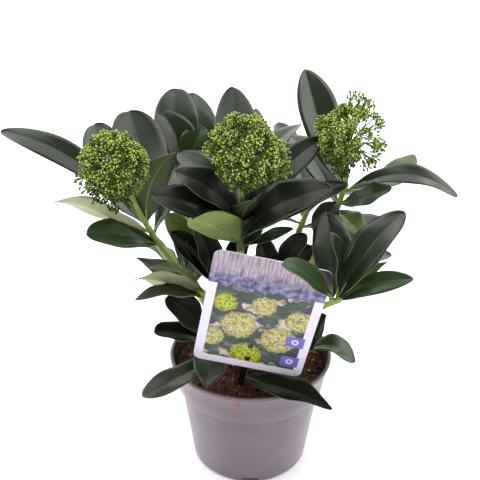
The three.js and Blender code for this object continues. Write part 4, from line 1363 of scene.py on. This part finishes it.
def printedSky(tree, place, design):
    # a pale strip with an upright grain, dark in one corner
    streak = addNode(tree, "ShaderNodeMapping", Vector=place, Scale=(1.0, 0.05, 1))["Vector"]
    grain = noiseOn(tree, streak, 1.0, 3.0)
    sky = mixColours(tree, remap(tree, grain, 0.35, 0.6), design["grain"], design["sky"])
    corner = useGroup(tree, patchGroup, Place=place, Centre=design["cornerPlace"], Radius=15.0, Ragged=4.0)
    return mixColours(tree, corner["Mask"], sky, design["corner"])


def printMaterial():
    design = printDesign
    material, tree, shader = newMaterial("printedLabel", Roughness=0.32, Specular_IOR_Level=0.45)
    place = addNode(tree, "ShaderNodeMapping", Vector=addNode(tree, "ShaderNodeTexCoord")["UV"],
                    Scale=(label["wide"], label["tall"], 1))["Vector"]
    split = addNode(tree, "ShaderNodeSeparateXYZ", Vector=place)
    colour = printedHeads(tree, place, design, leafyGround(tree, place, design))
    cloud, blots = noiseOn(tree, place, 0.09), noiseOn(tree, place, 0.2, 4.0)
    violet = mixColours(tree, remap(tree, blots, 0.36, 0.5), design["hazeDark"], design["haze"])
    violet = mixColours(tree, remap(tree, blots, 0.52, 0.66), violet, design["hazeLight"])
    edgeHeight = split["Y"]
    for mask, tall in zip((cloud, blots), design["waves"]):
        edgeHeight = plus(tree, edgeHeight, times(tree, mask, tall))
    upper = mixColours(tree, remap(tree, edgeHeight, *design["skyFoot"]), violet, printedSky(tree, place, design))
    colour = mixColours(tree, remap(tree, edgeHeight, *design["bandFoot"]), colour, upper)
    inner = boxMask(tree, split, (label["border"], label["border"]), (label["wide"] - label["border"], 400))
    above = remap(tree, split["Y"], label["borderTop"] - 0.3, label["borderTop"] + 0.3)
    colour = mixColours(tree, calc(tree, "MAXIMUM", inner, above), design["border"], colour)
    wide, tall = design["badgeSize"]
    for x, y in design["badges"]:
        badge = boxMask(tree, split, (x - wide / 2, y - tall / 2), (x + wide / 2, y + tall / 2))
        colour = mixColours(tree, badge, colour, design["badge"])
        disc, hole = (useGroup(tree, patchGroup, Place=place, Centre=(x, y, 0), Radius=radius, Ragged=0.0)["Mask"]
                      for radius in design["ring"])
        colour = mixColours(tree, minus(tree, disc, hole, clamp=True), colour, design["border"])
    feed(tree, shader.inputs["Base Color"], colour)
    return material


def growLabel():
    bm = bmesh.new()
    bmesh.ops.create_grid(bm, x_segments=1, y_segments=1, size=0.5)
    bmesh.ops.scale(bm, vec=(label["wide"], label["tall"], 1), verts=bm.verts)
    bmesh.ops.bevel(bm, geom=list(bm.verts), offset=label["corner"], offset_type="OFFSET", segments=8,
                    profile=0.5, affect="VERTICES", material=-1)
    blade = bm.loops.layers.uv.verify()
    for face in bm.faces:
        for loop in face.loops:
            loop[blade].uv = (loop.vert.co.x / label["wide"] + 0.5, loop.vert.co.y / label["tall"] + 0.5)
    grown = bmesh.ops.extrude_face_region(bm, geom=list(bm.faces))["geom"]
    raised = [g for g in grown if isinstance(g, bmesh.types.BMVert)]
    bmesh.ops.translate(bm, vec=(0, 0, label["thick"]), verts=raised)
    bmesh.ops.recalc_face_normals(bm, faces=bm.faces)
    bmesh.ops.translate(bm, vec=(0, label["tall"] / 2, 0), verts=bm.verts)
    bmesh.ops.rotate(bm, matrix=Matrix.Rotation(math.radians(90), 3, "X"), verts=bm.verts)
    bmesh.ops.scale(bm, vec=(mm, mm, mm), verts=bm.verts)
    for face in bm.faces:
        face.material_index = 0 if face.normal.y < -0.5 else 1
    bmesh.ops.transform(bm, matrix=labelPlace(), verts=bm.verts)
    blank = mottledMaterial("blankLabelBack", label["grey"], label["white"], 40.0, (0.3, 0.42), Specular_IOR_Level=0.45)
    piece = finishPiece("labelCard", bm, [printMaterial(), blank], smooth=False)
    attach(piece, "root")
    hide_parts("label_card")


def growStake():
    bm = bmesh.new()
    length = stake["above"] + stake["below"]
    made = bmesh.ops.create_cube(bm, size=1)["verts"]
    bmesh.ops.scale(bm, vec=(stake["wide"], stake["thick"], length), verts=made)
    bmesh.ops.translate(bm, vec=(label["holeOffset"], stake["gap"] + stake["thick"] / 2,
                                 (stake["above"] - stake["below"]) / 2), verts=made)
    low = [v for v in made if v.co.z < 0]
    bmesh.ops.translate(bm, vec=(0, 0, stake["point"]), verts=low)
    foot = bmesh.ops.extrude_face_region(bm, geom=[f for f in bm.faces if all(v in low for v in f.verts)])["geom"]
    point = [g for g in foot if isinstance(g, bmesh.types.BMVert)]
    bmesh.ops.translate(bm, vec=(0, 0, -stake["point"]), verts=point)
    bmesh.ops.scale(bm, vec=(stake["pointWidth"], 1, 1), verts=point,
                    space=Matrix.Translation((-label["holeOffset"], 0, 0)))
    bmesh.ops.bevel(bm, geom=list(bm.edges), offset=stake["softEdge"], offset_type="OFFSET", segments=2,
                    profile=0.5, affect="EDGES", material=-1)
    pegLength = label["thick"] + stake["gap"] + 1 + stake["pegStand"]
    for height in label["holes"]:
        turn = Matrix.Rotation(math.radians(90), 4, "X")
        middle = pegLength / 2 - label["thick"] - stake["pegStand"]
        place = Matrix.Translation((label["holeOffset"], middle, height)) @ turn
        peg = bmesh.ops.create_cone(bm, cap_ends=True, segments=20, radius1=stake["pegRadius"],
                                    radius2=stake["pegRadius"], depth=pegLength, matrix=place)["verts"]
        rim = [e for e in dict.fromkeys(e for v in peg for e in v.link_edges) if e.calc_face_angle(0) > 1]
        bmesh.ops.bevel(bm, geom=rim, offset=stake["pegSoftEdge"], offset_type="OFFSET", segments=2,
                        profile=0.5, affect="EDGES", material=-1)
    bmesh.ops.scale(bm, vec=(mm, mm, mm), verts=bm.verts)
    bmesh.ops.transform(bm, matrix=labelPlace(), verts=bm.verts)
    black = mottledMaterial("blackStake", stake["black"], stake["worn"], 90.0, (0.18, 0.34), Specular_IOR_Level=0.5)
    piece = finishPiece("labelStake", bm, [black], smooth=False)
    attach(piece, "root")
    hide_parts("label_stake")


growLabel()
growStake()
print("label ready")
